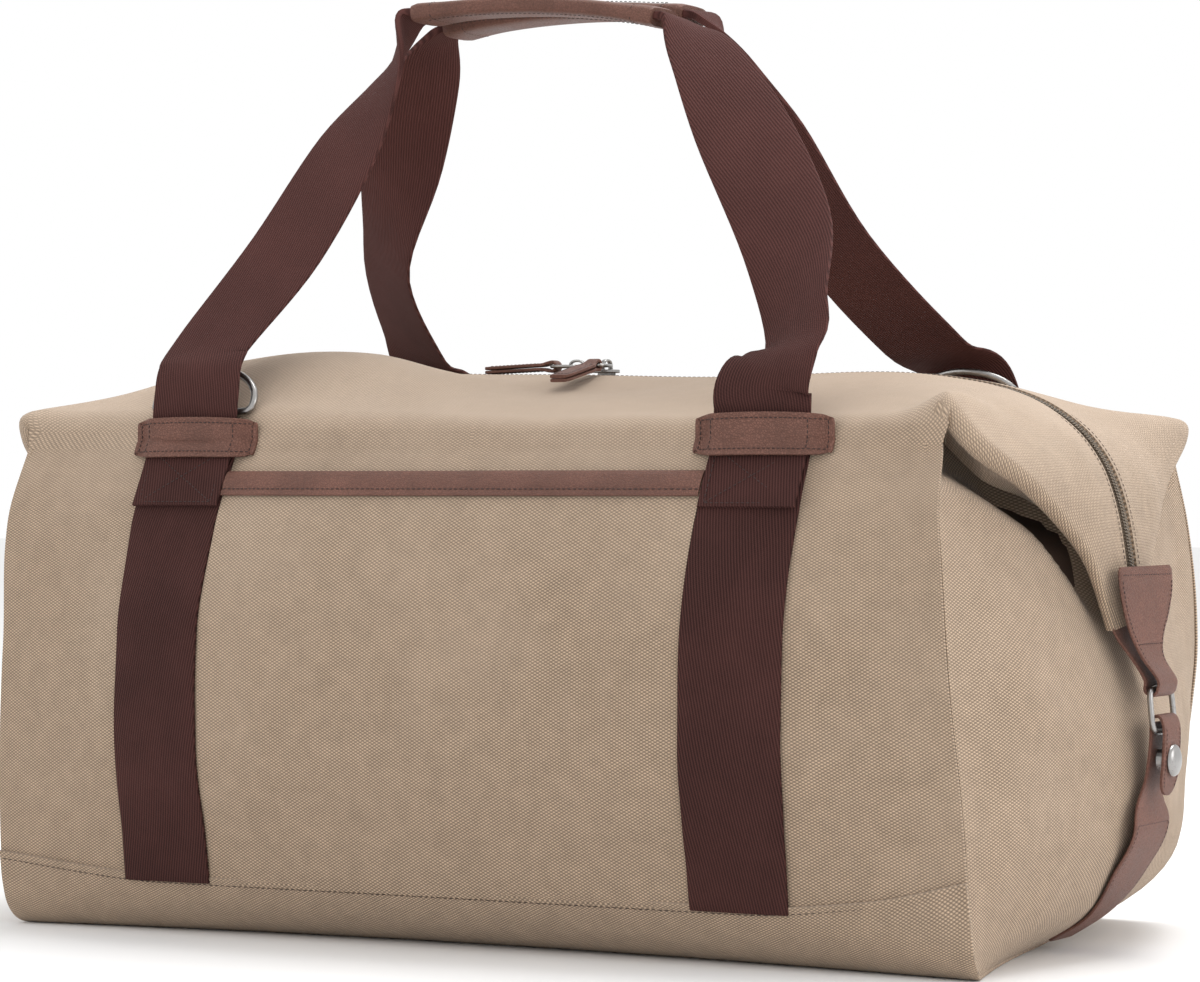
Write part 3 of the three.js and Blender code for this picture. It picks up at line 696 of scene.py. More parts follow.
def leather_material(rgb, groups):
    mat, tree, shader = new_material("Pebbled leather", 0.5, Specular_IOR_Level=0.22)
    at = place_in_bag(tree)
    grain = put(tree, "ShaderNodeGroup", {"Vector": at, "Pebble": 0.8}, node_tree=groups["hide"]).outputs
    cloudy = cloth_noise(tree, at, 0.045, 4.0, 0.6)
    tint = blend_colour(tree, span(tree, cloudy, 0.3, 0.7), shade(rgb, 0.82), shade(rgb, 1.22))
    creased = blend_colour(tree, calc(tree, "MULTIPLY", grain["Crease"], 0.62), tint, shade(rgb, 0.45))
    tree.links.new(span(tree, cloudy, 0.2, 0.8, 0.42, 0.6), shader.inputs["Roughness"])
    dress(tree, shader, creased, grain["Height"], 0.24, 0.85)
    return mat


def metal_material(name, rgb, rough):
    mat, tree, shader = new_material(name, rough, Metallic=1.0)
    at = place_in_bag(tree)
    haze = cloth_noise(tree, at, 0.35, 5.0, 0.65)
    tree.links.new(span(tree, haze, 0.3, 0.7, rough * 0.75, rough * 1.4), shader.inputs["Roughness"])
    hazy = blend_colour(tree, haze, shade(rgb, 0.7), shade(rgb, 1.25))
    dress(tree, shader, hazy, cloth_noise(tree, at, 2.2, 2.0), 0.02, 0.3)
    return mat


def plain_cloth(name, rgb, pitch, rough=0.9):
    """A fine even cloth for the lining, the zip tape and the board's cover."""
    mat, tree, shader = new_material(name, rough)
    at = place_in_bag(tree)
    fine = {"Vector": at, "Scale": 1 / pitch, "Distortion": 0.6}
    line = put(tree, "ShaderNodeTexWave", fine, bands_direction="DIAGONAL").outputs["Fac"]
    tint = span(tree, cloth_noise(tree, at, 0.03, 4.0, 0.6), 0.3, 0.7)
    base = blend_colour(tree, tint, shade(rgb, 0.85), shade(rgb, 1.15))
    dress(tree, shader, blend_colour(tree, line, base, shade(rgb, 0.62)), line, 0.08, 0.5)
    return mat


def thread_material(rgb):
    mat, tree, shader = new_material("Waxed thread", 0.6)
    where = {"Vector": place_in_bag(tree), "Scale": 1.6}
    twist = put(tree, "ShaderNodeTexWave", where, bands_direction="DIAGONAL").outputs["Fac"]
    dress(tree, shader, blend_colour(tree, twist, shade(rgb, 0.7), shade(rgb, 1.5)), twist, 0.06, 0.5)
    return mat


def floor_material():
    mat, tree, shader = new_material("Pale floor", 0.85)
    soft = cloth_noise(tree, place_in_bag(tree), 0.004, 2.0)
    pale = blend_colour(tree, soft, (0.86, 0.86, 0.86, 1), (0.88, 0.88, 0.88, 1))
    tree.links.new(pale, shader.inputs["Base Color"])
    return mat


# ---------- pieces ----------

SIDES = {"front": -1, "rear": 1}
HANDS = {"right": 1, "left": -1}
CORNERS = [(face, side, hand, sx) for face, side in SIDES.items() for hand, sx in HANDS.items()]
EAR_OUT = {(1, 1): 15.0, (1, -1): -6.0, (-1, 1): 9.0, (-1, -1): 15.0}
EAR_UP = {(1, 1): 4.0, (1, -1): 2.0, (-1, 1): 6.0, (-1, -1): 6.0}
SHOULDER = [(115.4, 252.2), (118.0, 249.6), (119.6, 246.4)]


def quarter_top(side_x, side_y, runs, corner, t):
    """The zipped top and the folded end, from the zip outwards."""
    half = wing_half(runs)[:, None]
    run, tt = np.meshgrid(runs, t, indexing="ij")
    y = CANVAS_EDGE + (half - CANVAS_EDGE) * tt
    x = np.broadcast_to(wing_x(runs)[:, None], y.shape)
    down = folded(run)[..., None]
    droop = 5.0 * (y / half) ** 2
    sag = 1.5 * ripple(y * side_y * 1.2, run, 41 + side_x, 60) * ramp((y - 12) / 20)
    sunk = lay(x - 0.75 * droop + sag * 0.7, y, wing_z(run) - 0.55 * droop)
    top = lay(x, y, top_height(x * side_x, y * side_y, run)) * (1 - down) + sunk * down
    ear = ramp((y - 40) / 72) * bump(run, WING_RUN[3] + 2, 24)
    top[..., 0] += ear * EAR_OUT[side_x, side_y]
    top[..., 2] += ear * EAR_UP[side_x, side_y]
    if (side_x, side_y) == (1, -1):
        top[..., 2] += 8.5 * ramp((y - 66) / 40) * bump(run, corner - 2, 20)
    if side_y > 0:
        top[..., 1] += ear * 5.0
    return top, lay(run, y)


def quarter(side_x, side_y):
    """One quarter of the cloth: from the base seam up the wall, over the top to the zip, and
    down the folded end."""
    bends = np.linspace(231.5, 262, 12)
    runs = np.concatenate([np.linspace(0, 228, 58), bends, np.linspace(265, WING_RUN[-1], 38)])
    fine = np.linspace(0, WING_RUN[-1], 6000)
    at_corner = fine[np.searchsorted(wing_x(fine), CORNER_X)]
    corner = int(np.argmin(abs(runs - at_corner)))
    runs[corner] = at_corner
    t = np.linspace(0, 1, 31) ** 0.92
    levels = np.concatenate([[239.5, 236, 231], np.linspace(226, 24, 46)])
    m, wall = len(t), len(t) + len(SHOULDER)
    rows, n, x0 = wall + len(levels), len(runs), wing_x(runs)
    places, cloth = np.zeros((n, rows, 3)), np.zeros((n, rows, 2))
    places[:, :m], cloth[:, :m] = quarter_top(side_x, side_y, runs, at_corner, t)
    edge, base = places[:, m - 1], cloth[:, m - 1, 1]
    lean = edge - [0, 112, 253.9] - x0[:, None] * [1, 0, 0]
    for k, (y, z) in enumerate(SHOULDER):
        places[:, m + k] = lay(x0, y, z) + lean * (1 - k / 3.2) * 0.75
    for k, z in enumerate(levels):
        xs = x0 * (half_length(z) / CORNER_X)
        pull = (corner_place(z, side_x, side_y) - half_length(z)) * np.clip(x0 / CORNER_X, 0, 1) ** 5
        places[:, wall + k] = lay(xs + pull, wall_depth(xs * side_x, z, side_y), z)
    steps = np.linalg.norm(np.diff(places[10, m - 1 :], axis=0), axis=1)
    cloth[:, m:] = lay(runs[:, None], base[:, None] + np.cumsum(steps)[None])
    # the free edge of the folded end rolls under and tucks back
    out_way = unit(edge - places[:, m - 4])
    normal = unit(np.cross(unit(np.gradient(edge, axis=0)), out_way))
    normal *= np.sign(normal[:, 2:3] + normal[:, 0:1])
    roll = 2.6 + 3.6 * ramp((WING_RUN[-1] - runs) / 110)
    under = [(a, 0, 0) for a in (25, 55, 85, 115, 145, 170)]
    under += [(180, 5, 1), (180, 12, 4), (180, 20, 9), (180, 27, 16)]
    beyond = slice(corner + 1, None)
    for k, (a, back, deep) in enumerate(under):
        a = math.radians(a)
        fold = (
            edge + out_way * (roll * math.sin(a) - back)[:, None]
            - normal * (roll * (1 - math.cos(a)) + deep)[:, None]
        )
        places[beyond, m + k] = fold[beyond]
        cloth[beyond, m + k, 1] = (base + roll * a + back)[beyond]
    last = m + len(under)
    keep = np.ones((n - 1, rows - 1), bool)
    keep[corner:, last - 1 :] = False
    keep[corner, wall:] = False
    places[beyond, last:] = places[beyond, last - 1 : last]
    return places * [side_x, side_y, 1], cloth, keep


class PieceOperator:
    bl_options = {"REGISTER", "UNDO"}


class DUFFEL_OT_materials(PieceOperator, bpy.types.Operator):
    """Make the canvas, webbing, leather, metal and thread finishes"""

    bl_idname = "duffel.materials"
    bl_label = "Finishes"

    def execute(self, context):
        s = settings()
        groups = {"weave": weave_group(), "wear_and_light": wear_and_top_light_group(), "hide": hide_group()}
        MATERIALS.update(
            canvas=canvas_material(s, groups),
            webbing=webbing_material(s.webbing_colour),
            leather=leather_material(s.leather_colour, groups),
            metal=metal_material("Polished gunmetal", s.metal_colour, 0.31),
            teeth=metal_material("Dull brass teeth", (0.16, 0.13, 0.10), 0.38),
            lining=plain_cloth("Lining cloth", (0.12, 0.075, 0.055), 1.2),
            tape=plain_cloth("Zip tape", (0.27, 0.20, 0.14), 0.9),
            board=plain_cloth("Board cover", (0.10, 0.09, 0.08), 2.0, 0.8),
            thread=thread_material(s.thread_colour),
        )
        return {"FINISHED"}


class DUFFEL_OT_cloth_shell(PieceOperator, bpy.types.Operator):
    """Lay the walls, the top and the folded ends as four quarters of sagging canvas"""

    bl_idname = "duffel.cloth_shell"
    bl_label = "Walls, top and folded ends"

    def execute(self, context):
        for face, sy, hand, sx in CORNERS:
            places, cloth, keep = quarter(sx, sy)
            obj = panel(f"canvas_{face}_{hand}", places, cloth, 1.5, 75, keep=keep)
            wall = "front_panel" if sy < 0 else "back_panel"
            finish(obj, "canvas", None, [wall, f"{face}_lip", f"wing_{hand}"], mouth(sx, sy))
        return {"FINISHED"}


class DUFFEL_OT_ends(PieceOperator, bpy.types.Operator):
    """Bulge the two end panels and tuck their tops under the folded ends"""

    bl_idname = "duffel.ends"
    bl_label = "End panels"

    def execute(self, context):
        z = np.concatenate([[1.2, 2.6, 5, 8, 12, 17], np.linspace(23, RIM - 1, 46)])
        zz, tt = np.meshgrid(z, np.linspace(-1, 1, 61), indexing="ij")
        for hand, sx in HANDS.items():
            near, far = (wall_depth(half_length(z) * sx, z, side)[:, None] - 1.3 for side in (-1, 1))
            y = tt * np.where(tt < 0, near, far)
            x = end_reach(y, zz, sx) - 0.3
            obj = panel(f"end_canvas_{hand}", lay(x * sx, y, zz), lay(y, zz), 1.6, 75)
            finish(obj, "canvas", "shell", [f"end_panel_{hand}"])
        return {"FINISHED"}


class DUFFEL_OT_base(PieceOperator, bpy.types.Operator):
    """Wrap the base panel under the bag and up both long sides, with its seam"""

    bl_idname = "duffel.base"
    bl_label = "Base panel"

    @staticmethod
    def depth(x, z, side):
        z = np.asarray(z, float)
        edge = 0.9 * bump(z - seam_height(x), -0.6, 1.6)
        return wall_depth(x, z, side) + 0.9 + edge + 0.5 * ripple(x, z, 51 + side, 70) * ramp(z / 20)

    def execute(self, context):
        u = np.linspace(-1, 1, 131)
        under = 0.3
        section = [(True, f) for f in np.linspace(0, 1, 14)]
        section += [(False, f) for f in np.linspace(0.06, 1, 22) ** 1.5]
        count = 2 * len(section) - 1
        places, cloth = np.zeros((len(u), count, 3)), np.zeros((len(u), count, 2))
        for side in (-1, 1):
            travel, before = 0.0, None
            for k, (flat, f) in enumerate(section):
                j = len(section) - 1 + side * k
                if flat:
                    z, y = 0 * u + under, f * self.depth(u * 256, under, side)
                else:
                    z = under + (seam_height(u * 262) - under) * f
                    y = self.depth(u * 262, z, side)
                at = side * np.minimum(y, corner_depth(z) - 0.2)
                x = u * (end_at(u, at, z + 0.9) + 0.3)
                places[:, j] = lay(x, side * y, z)
                here = places[len(u) // 2, j]
                travel += 0 if before is None else np.linalg.norm(here - before)
                before = here
                cloth[:, j] = lay(x, side * travel)
        obj = panel("base_canvas", places, cloth, 1.8, bevel=0.5, centre=(0, 0, 120))
        finish(obj, "canvas", "shell", ["base_panel"])
        x = np.linspace(-259, 259, 160)
        z = seam_height(x) - 3.6
        lines = [(lay(x, side * (self.depth(x, z, side) + 0.1), z), (0, side, 0)) for side in (-1, 1)]
        sew("base_seam_stitches", lines, "shell", pitch=3.4, thread=0.5)
        return {"FINISHED"}


class DUFFEL_OT_inside(PieceOperator, bpy.types.Operator):
    """Hang the lining inside the shell and cover the base board"""

    bl_idname = "duffel.inside"
    bl_label = "Lining and board"

    def execute(self, context):
        z = np.concatenate([[9.0, 12, 17], np.linspace(25, RIM - 4, 34)])
        a = np.linspace(0, 2 * math.pi, 161)
        cx, cy = signed(np.cos(a), 0.32), signed(np.sin(a), 0.32)
        places, cloth = np.zeros((len(z), len(a), 3)), np.zeros((len(z), len(a), 2))
        for k, h in enumerate(z):
            inset = 6.2 + 9 * max(0.0, 1 - h / 25)
            bulge_y = float(belly_depth(h) - corner_depth(h)) * (1 - cx**2)
            bulge_x = float(end_bulge(h)) * (1 - cy**2) - 26 * float(ramp((h - 200) / 40))
            x = cx * (float(half_length(h)) + bulge_x - inset)
            y = cy * (float(corner_depth(h)) + bulge_y - inset)
            calm = 1.2 * ripple(a * 120, h, 61, 50) - 1.2
            places[k] = lay(x + calm * cx, y + calm * cy, h)
            places[k, -1] = places[k, 0]
            cloth[k] = lay(a * 180, h)
        room = end_at(places[..., 0], places[..., 1], places[..., 2]) - 6
        places[..., 0] = np.clip(places[..., 0], -room, room)
        obj = drape("lining_bag", places, cloth)
        edit(obj, ("remove_doubles", {"threshold": WELD}))
        thicken(obj, 0.8)
        self.floor_cloth(obj)
        smooth(obj, 60)
        finish(obj, "lining", "shell", ["lining"])
        self.board()
        return {"FINISHED"}

    @staticmethod
    def floor_cloth(obj):
        """Close the lining's lowest edge into a floor."""
        u, v = np.meshgrid(np.linspace(-1, 1, 41), np.linspace(-1, 1, 25), indexing="ij")
        k = np.maximum(abs(u), abs(v)) + 1e-6
        y = 122.0 * v * (1 - 0.02 * (u * v) ** 4 / k)
        x = u * (end_at(u, y, 9.0 + 0 * y).clip(0, 254) - 6.5)
        places = lay(x, y, 8.6 + 0.25 * ripple(x, y, 71, 80))
        sheet = drape("lining_floor", places, lay(x, y), facing=(0, 0, 1))
        thicken(sheet, 0.8)
        only(obj)
        sheet.select_set(True)
        bpy.ops.object.join()

    @staticmethod
    def board():
        """The stiff base board, its corners rounded to sit inside the cloth."""
        u, v = np.meshgrid(np.linspace(-1, 1, 61), np.linspace(-1, 1, 31), indexing="ij")
        y = 118.0 * v
        x = u * (end_at(u, y, 4.0 + 0 * y).clip(0, 252) - 7 - 8 * abs(v) ** 8)
        obj = drape("stiff_board", lay(x, y, 6.3), lay(x, y), facing=(0, 0, 1))
        thicken(obj, 2.9, 0.4)
        finish(obj, "board", "shell", ["base_board"])


class DUFFEL_OT_pocket(PieceOperator, bpy.types.Operator):
    """Lay the front pocket flat against the wall and bind its mouth in leather"""

    bl_idname = "duffel.pocket"
    bl_label = "Front pocket"

    @staticmethod
    def depth(x, z):
        """How far the pocket stands from the middle, on top of the wall."""
        near_strap = 1 - ramp((POCKET_HALF - abs(x)) / 30)
        return wall_depth(x, z, -1) + (1.5 + 6.3 * ramp((z - 150) / 78)) * (1 - 0.72 * near_strap)

    def execute(self, context):
        low, high = BINDING_LOW, BINDING_TOP
        x = np.linspace(-POCKET_HALF, POCKET_HALF, 71)
        z = np.concatenate([np.linspace(26, low - 2, 48), [low + 2, low + 8]])
        xx, zz = np.meshgrid(x, z, indexing="ij")
        obj = panel("pocket_canvas", lay(xx, -self.depth(xx, zz), zz), lay(xx, zz), 1.3, 70)
        finish(obj, "canvas", "shell", ["pocket_panel"])
        section = [(-1.9, low + 3), (-1.9, high - 1.5), (-1.0, high - 0.3), (0.4, high), (1.7, high - 0.5),
                   (2.5, high - 2), (2.7, high - 5), (2.6, low + 4.4), (2.2, low + 3.3),
                   (2.6, low + 2.2), (2.3, low + 0.4), (1.2, low)]
        places = np.stack([lay(x, -(self.depth(x, h) + d), h) for d, h in section], 1)
        cloth = np.stack([lay(x, h + d) for d, h in section], 1)
        obj = panel("pocket_mouth_binding", places, cloth, 0.9, facing=(0, -1, 0.2))
        finish(obj, "leather", "shell", ["pocket_binding"])
        seam = low + 3.3
        sew("binding_stitches", [(lay(x, -(self.depth(x, seam) + 2.35), seam), (0, -1, 0))], "shell")
        return {"FINISHED"}


def strap_surface(side_x, side, dx, z, d):
    x = side_x * (STRAP_X + dx)
    depth = np.where(z > RIM, RIM_DEPTH + 0.35, wall_depth(x, np.minimum(z, RIM), side))
    return lay(x, side * (depth + d), z)


class DUFFEL_OT_straps(PieceOperator, bpy.types.Operator):
    """Sew the webbing up the walls, with boxed cross stitches and leather patches at its top"""

    bl_idname = "duffel.straps"
    bl_label = "Straps and patches"
    half_w, half_h, mid = 35.5, 9.4, 244.2

    def execute(self, context):
        for corner in CORNERS:
            self.strap(*corner)
            self.patch(*corner)
        return {"FINISHED"}

    @staticmethod
    def strap(face, side, hand, sx):
        half = WEBBING / 2
        dx, zz = np.meshgrid(np.linspace(-half, half, 13), np.linspace(26, 250, 80), indexing="ij")
        lift = 2.7 - 0.5 * (abs(dx) / half) ** 6
        places = strap_surface(sx, side, dx, zz, lift)
        obj = panel(f"webbing_{face}_{hand}", places, lay(dx, zz), 1.9, bevel=0.5)
        finish(obj, "webbing", "shell", [f"strap_{face}_{hand}"])

    def offset(self, dx, b, a):
        """How far the leather stands off the wall: over the webbing, with a swollen edge."""
        over = 1 - ramp((abs(dx) - 23.5) / 8)
        edge = np.minimum((1 - abs(a)) * self.half_w, (1 - abs(b)) * self.half_h)
        return 2.0 + 5.9 * over + 0.45 * np.exp(-((edge - 0.7) / 0.8) ** 2)

    def patch(self, face, side, hand, sx):
        a, b = np.meshgrid(np.linspace(-1, 1, 57), np.linspace(-1, 1, 21), indexing="ij")
        rounded = a * a * b * b
        dx = a * self.half_w * (1 - 0.05 * rounded**4)
        z = self.mid + b * self.half_h * (1 - 0.16 * rounded**5)
        z = z + 1.3 * (1 - a * a) * (0.4 + 0.6 * (b + 1) / 2)
        places = strap_surface(sx, side, dx, z, self.offset(dx, b, a))
        obj = panel(f"leather_patch_{face}_{hand}", places, lay(dx, z), 1.5, bevel=0.5)
        finish(obj, "leather", "shell", [f"patch_{face}_{hand}"])
        lines = []
        u, v, w = 0.925, 0.72, 0.70
        for pa, pb in (((-u, v), (u, v)), ((-u, -v), (u, -v)), ((-u, -v), (-u, v)), ((u, -v), (u, v)),
                       ((-w, -v), (-w, v)), ((w, -v), (w, v))):
            a, b = (np.linspace(p, q, 50) for p, q in zip(pa, pb))
            dx = a * self.half_w * (1 - 0.05 * (a * a * b * b) ** 4)
            z = self.mid + b * self.half_h + 1.3 * (1 - a * a) * (0.4 + 0.6 * (b + 1) / 2)
            on_top = self.offset(dx, b * 0, a * 0) + 0.05
            lines.append((strap_surface(sx, side, dx, z, on_top), (0, side, 0)))
        sew(f"patch_stitches_{face}_{hand}", lines, "shell", pitch=2.5, thread=0.55)
        box = [((-21, 213), (21, 213)), ((-21, 213), (21, 238)), ((21, 213), (-21, 238)),
               ((-21, 213), (-21, 238)), ((21, 213), (21, 238))]
        lines = []
        for p, q in box:
            dx, z = (np.linspace(m, n, 30) for m, n in zip(p, q))
            lines.append((strap_surface(sx, side, dx, z, 5.25), (0, side, 0)))
        sew(f"box_stitches_{face}_{hand}", lines, "shell", pitch=2.6, thread=0.5)


# each leg of webbing above its patch: across, out from the middle, height, then the way its width lies
LEGS = {
    ("front", "left"): [
        (-158, 117.6, 280.5, 1, 0.04, 0), (-157, 104, 295, 1, 0.12, -0.05),
        (-136, 73, 340, 1, 0.15, -0.2), (-115.5, 45, 395, 1, 0.45, -0.45), (-102, 27, 433, 0.8, 1.2, -0.6),
    ],
    ("front", "right"): [
        (162, 117, 280.5, 1, 0.38, 0), (163.5, 102, 296, 1, 0.78, 0),
        (144, 72, 340, 1, 0.1, 0.1), (105, 44, 396, 1, -0.6, 0.5), (77, 27, 433, 0.8, -1.2, 0.6),
    ],
    ("rear", "left"): [
        (-161, 116.6, 280.5, 1, -0.2, 0), (-163, 98, 295, 1, -0.7, 0.1),
        (-157, 58, 340, 1, -0.7, 0), (-133, 36, 396, 1, 0.3, -0.4), (-111, 23, 433, 0.8, 1.2, -0.6),
    ],
    ("rear", "right"): [
        (150.5, 117, 281, 1, -0.06, 0), (136, 98, 295, 1, -0.15, 0.05),
        (109, 58, 340, 1, -0.4, 0.3), (85, 36, 396, 1, -0.6, 0.5), (70, 23, 433, 0.8, -1.2, 0.6),
    ],
}
GRIP_TILT = {"front": 4.5, "rear": 0.0}


def grip_height(u, face):
    return 462 - 5 * (2 * u - 1) ** 2 - GRIP_TILT[face] * (2 * u - 1)


def handle_stations(face, side):
    """Centre, side way, width and thickness of the webbing along one handle, foot to foot."""
    rows = []
    sizes = [(WEBBING, 2.0), (WEBBING, 2.0), (WEBBING - 1, 2.1), (46, 2.4), (36, 3.2)]
    top = RIM_DEPTH + 4.1
    for hand, sign in (("left", -1), ("right", 1)):
        b = sign * STRAP_X
        foot = [(float(wall_depth(b, z, side)) + 4.1, z) for z in (211, 220, 229, 236, RIM)]
        foot += [(top + 0.4, 250), (top, 257), (top - 1.5, 267)]
        leg = [[b, y, z, 1, 0, 0, WEBBING, 2.0] for y, z in foot]
        leg += [[*place, *size] for place, size in zip(LEGS[face, hand], sizes)]
        end = GRIP_MID + sign * (GRIP_LENGTH / 2 + 9)
        leg.append([end, GRIP_OUT + 0.5, 454.5 - sign * GRIP_TILT[face], 0, -sign, 0, 25.6, 4.4])
        if sign < 0:
            rows += leg
            for u in np.linspace(0.04, 0.96, 9):
                x = GRIP_MID + (u - 0.5) * GRIP_LENGTH
                rows.append([x, GRIP_OUT, float(grip_height(u, face)), 0, 1, 0, 24.4, 4.4])
        else:
            rows += [[*r[:3], -r[3], -r[4], -r[5], *r[6:]] for r in leg[::-1]]
    return np.array(rows, float) * [1, side, 1, 1, side, 1, 1, 1]


class DUFFEL_OT_handles(PieceOperator, bpy.types.Operator):
    """Run both webbing handles up to their leather grips"""

    bl_idname = "duffel.handles"
    bl_label = "Handles and grips"

    def execute(self, context):
        for face, side in SIDES.items():
            rows = smooth_path(handle_stations(face, side), 7)
            band = (rows[:, :3], rows[:, 3:6], rows[:, 6], rows[:, 7])
            obj = sweep(f"webbing_handle_{face}", *band, square=0.28, around=20)
            y = side * (RIM_DEPTH + 4) * MM
            stands_for = [f"{face}_handle"] + [f"handle_end_{face}_{h}" for h in HANDS]
            bend = ("shell", f"{face}_handle_loop", (0, y, 0.251), (0, y, 0.266))
            finish(obj, "webbing", None, stands_for, bend)
            self.grip(face, side)
        return {"FINISHED"}

    @staticmethod
    def grip(face, side):
        u = np.linspace(0, 1, 49)
        to_end = np.minimum(u, 1 - u)
        path = lay(GRIP_MID + (u - 0.5) * GRIP_LENGTH, side * GRIP_OUT, grip_height(u, face))
        swell, lip = bump(to_end, 0, 0.09), bump(to_end * GRIP_LENGTH, 0, 1.1)
        thick = 8.6 + 2.0 * swell
        wide = 28.4 + 1.4 * swell + 0.5 * np.sin(u * 19)
        size = (wide - 1.2 * lip, thick - 1.2 * lip)
        obj = sweep(f"leather_grip_{face}", path, (0, -side, 0), *size, square=0.5, around=28)
        finish(obj, "leather", f"{face}_handle_loop", [f"{face}_grip"])
        lines = []
        _, way, normal = frames(path, (0, -side, 0), False)
        a = np.linspace(0.12, math.pi - 0.12, 24)
        cx = signed(np.cos(a), 0.5)[:, None]
        for at in (4, 44):
            for turn in (1, -1):
                cy = turn * (abs(np.sin(a)) ** 0.5)[:, None]
                ring = path[at] + way[at] * cx * (wide[at] / 2) + normal[at] * cy * (thick[at] / 2)
                lines.append((ring, unit(ring - path[at] + 1e-6)))
        for edge in (1, -1):
            seam = path + way * (edge * (wide / 2 - 3.2))[:, None] + normal * (thick / 2)[:, None]
            lines.append((seam[3:-3], normal[3:-3]))
        sew(f"grip_stitches_{face}", lines, f"{face}_handle_loop", pitch=2.6, thread=0.5, lift=0.0)


class DUFFEL_OT_zip(PieceOperator, bpy.types.Operator):
    """Lay the zip along the ridge and down both folded ends, tooth by tooth"""

    bl_idname = "duffel.zip"
    bl_label = "Zip"
    seam = CANVAS_EDGE + 2.6

    def execute(self, context):
        far = ZIP_END + 12
        for face, sy, hand, sx in CORNERS:
            xx, yy = np.meshgrid(np.linspace(0, far, 60), [1.6, 4.5, 8, 13.5], indexing="ij")
            places = lay(xx * sx, yy * sy, self.level(xx, sx) - 1.3)
            obj = drape(f"tape_{face}_{hand}", places, lay(xx, yy), facing=(0, 0, 1))
            thicken(obj, 0.7)
            finish(obj, "tape", None, [f"zip_tape_{face}"], mouth(sx, sy))
            at = np.arange(TOOTH_PITCH * (0.25 if sy < 0 else 0.75), far, TOOTH_PITCH)
            spots = lay(at * sx, sy * 1.45, self.level(at, sx))
            way = np.tile([0.0, 1.0, 0.0], (len(at), 1))
            obj = copies(f"teeth_{face}_{hand}", spots, way, (0, 0, 1), *TOOTH)
            finish(obj, "teeth", None, [f"zip_teeth_{face}"], mouth(sx, sy))
            edge = np.linspace(2, 228, 90)
            beside = sy * self.seam
            line = lay(edge * sx, beside, top_height(edge * sx, np.full(len(edge), beside), edge))
            rows = [(line, (0, 0, 1))]
            sew(f"zip_seam_{face}_{hand}", rows, None, mouth(sx, sy), pitch=2.7, thread=0.42)
        for hand, sx in HANDS.items():
            self.wing(hand, sx)
        return {"FINISHED"}

    @staticmethod
    def level(x, sx):
        """Height of the closed zip, dipping with the cloth where the fold begins."""
        cloth = top_height(x * sx, 0 * x + CANVAS_EDGE + 1, x)
        return np.minimum(RIDGE - 0.1 + ridge_rise(x * sx), cloth - 0.9)

    def wing(self, hand, sx):
        runs = np.linspace(ZIP_END + 12.5, WING_RUN[-1] - 14, 80)
        x, down = wing_x(runs), folded(runs)
        z = np.minimum(wing_z(runs), RIDGE - 0.3 + ridge_rise(x * sx))
        z = z * down + (top_height(x * sx, 0 * x + CANVAS_EDGE + 1, runs) - 0.7) * (1 - down)
        path = lay(x * sx, 0 * x, z)
        normal = np.cross(unit(np.gradient(path, axis=0)), np.tile([0.0, 1.0, 0.0], (len(x), 1)))
        normal *= np.sign(normal[:, 2:3])
        y = np.array([-9, -4, 0, 4, 9.0])
        places = path[:, None] + normal[:, None] * -1.4 + np.array([0, 1, 0]) * y[None, :, None]
        obj = drape(f"wing_tape_{hand}", places, np.stack(np.meshgrid(runs, y, indexing="ij"), -1))
        thicken(obj, 0.7)
        finish(obj, "tape", "shell", [f"wing_zip_{hand}"])
        spots, way, up = spaced(path - normal * 0.2, TOOTH_PITCH, normal)
        side = np.tile([0.0, 1.0, 0.0], (len(spots), 1))
        both = np.concatenate([spots + side * 1.45, spots - side * 1.45 + way * TOOTH_PITCH / 2])
        ways, ups = np.concatenate([side, side]), np.concatenate([up, up])
        finish(copies(f"wing_teeth_{hand}", both, ways, ups, *TOOTH), "teeth", "shell")
        lines = [(path + np.array([0, s * self.seam, 0]) + normal * 0.1, normal) for s in (-1, 1)]
        sew(f"wing_seams_{hand}", lines, "shell", pitch=2.7, thread=0.42)


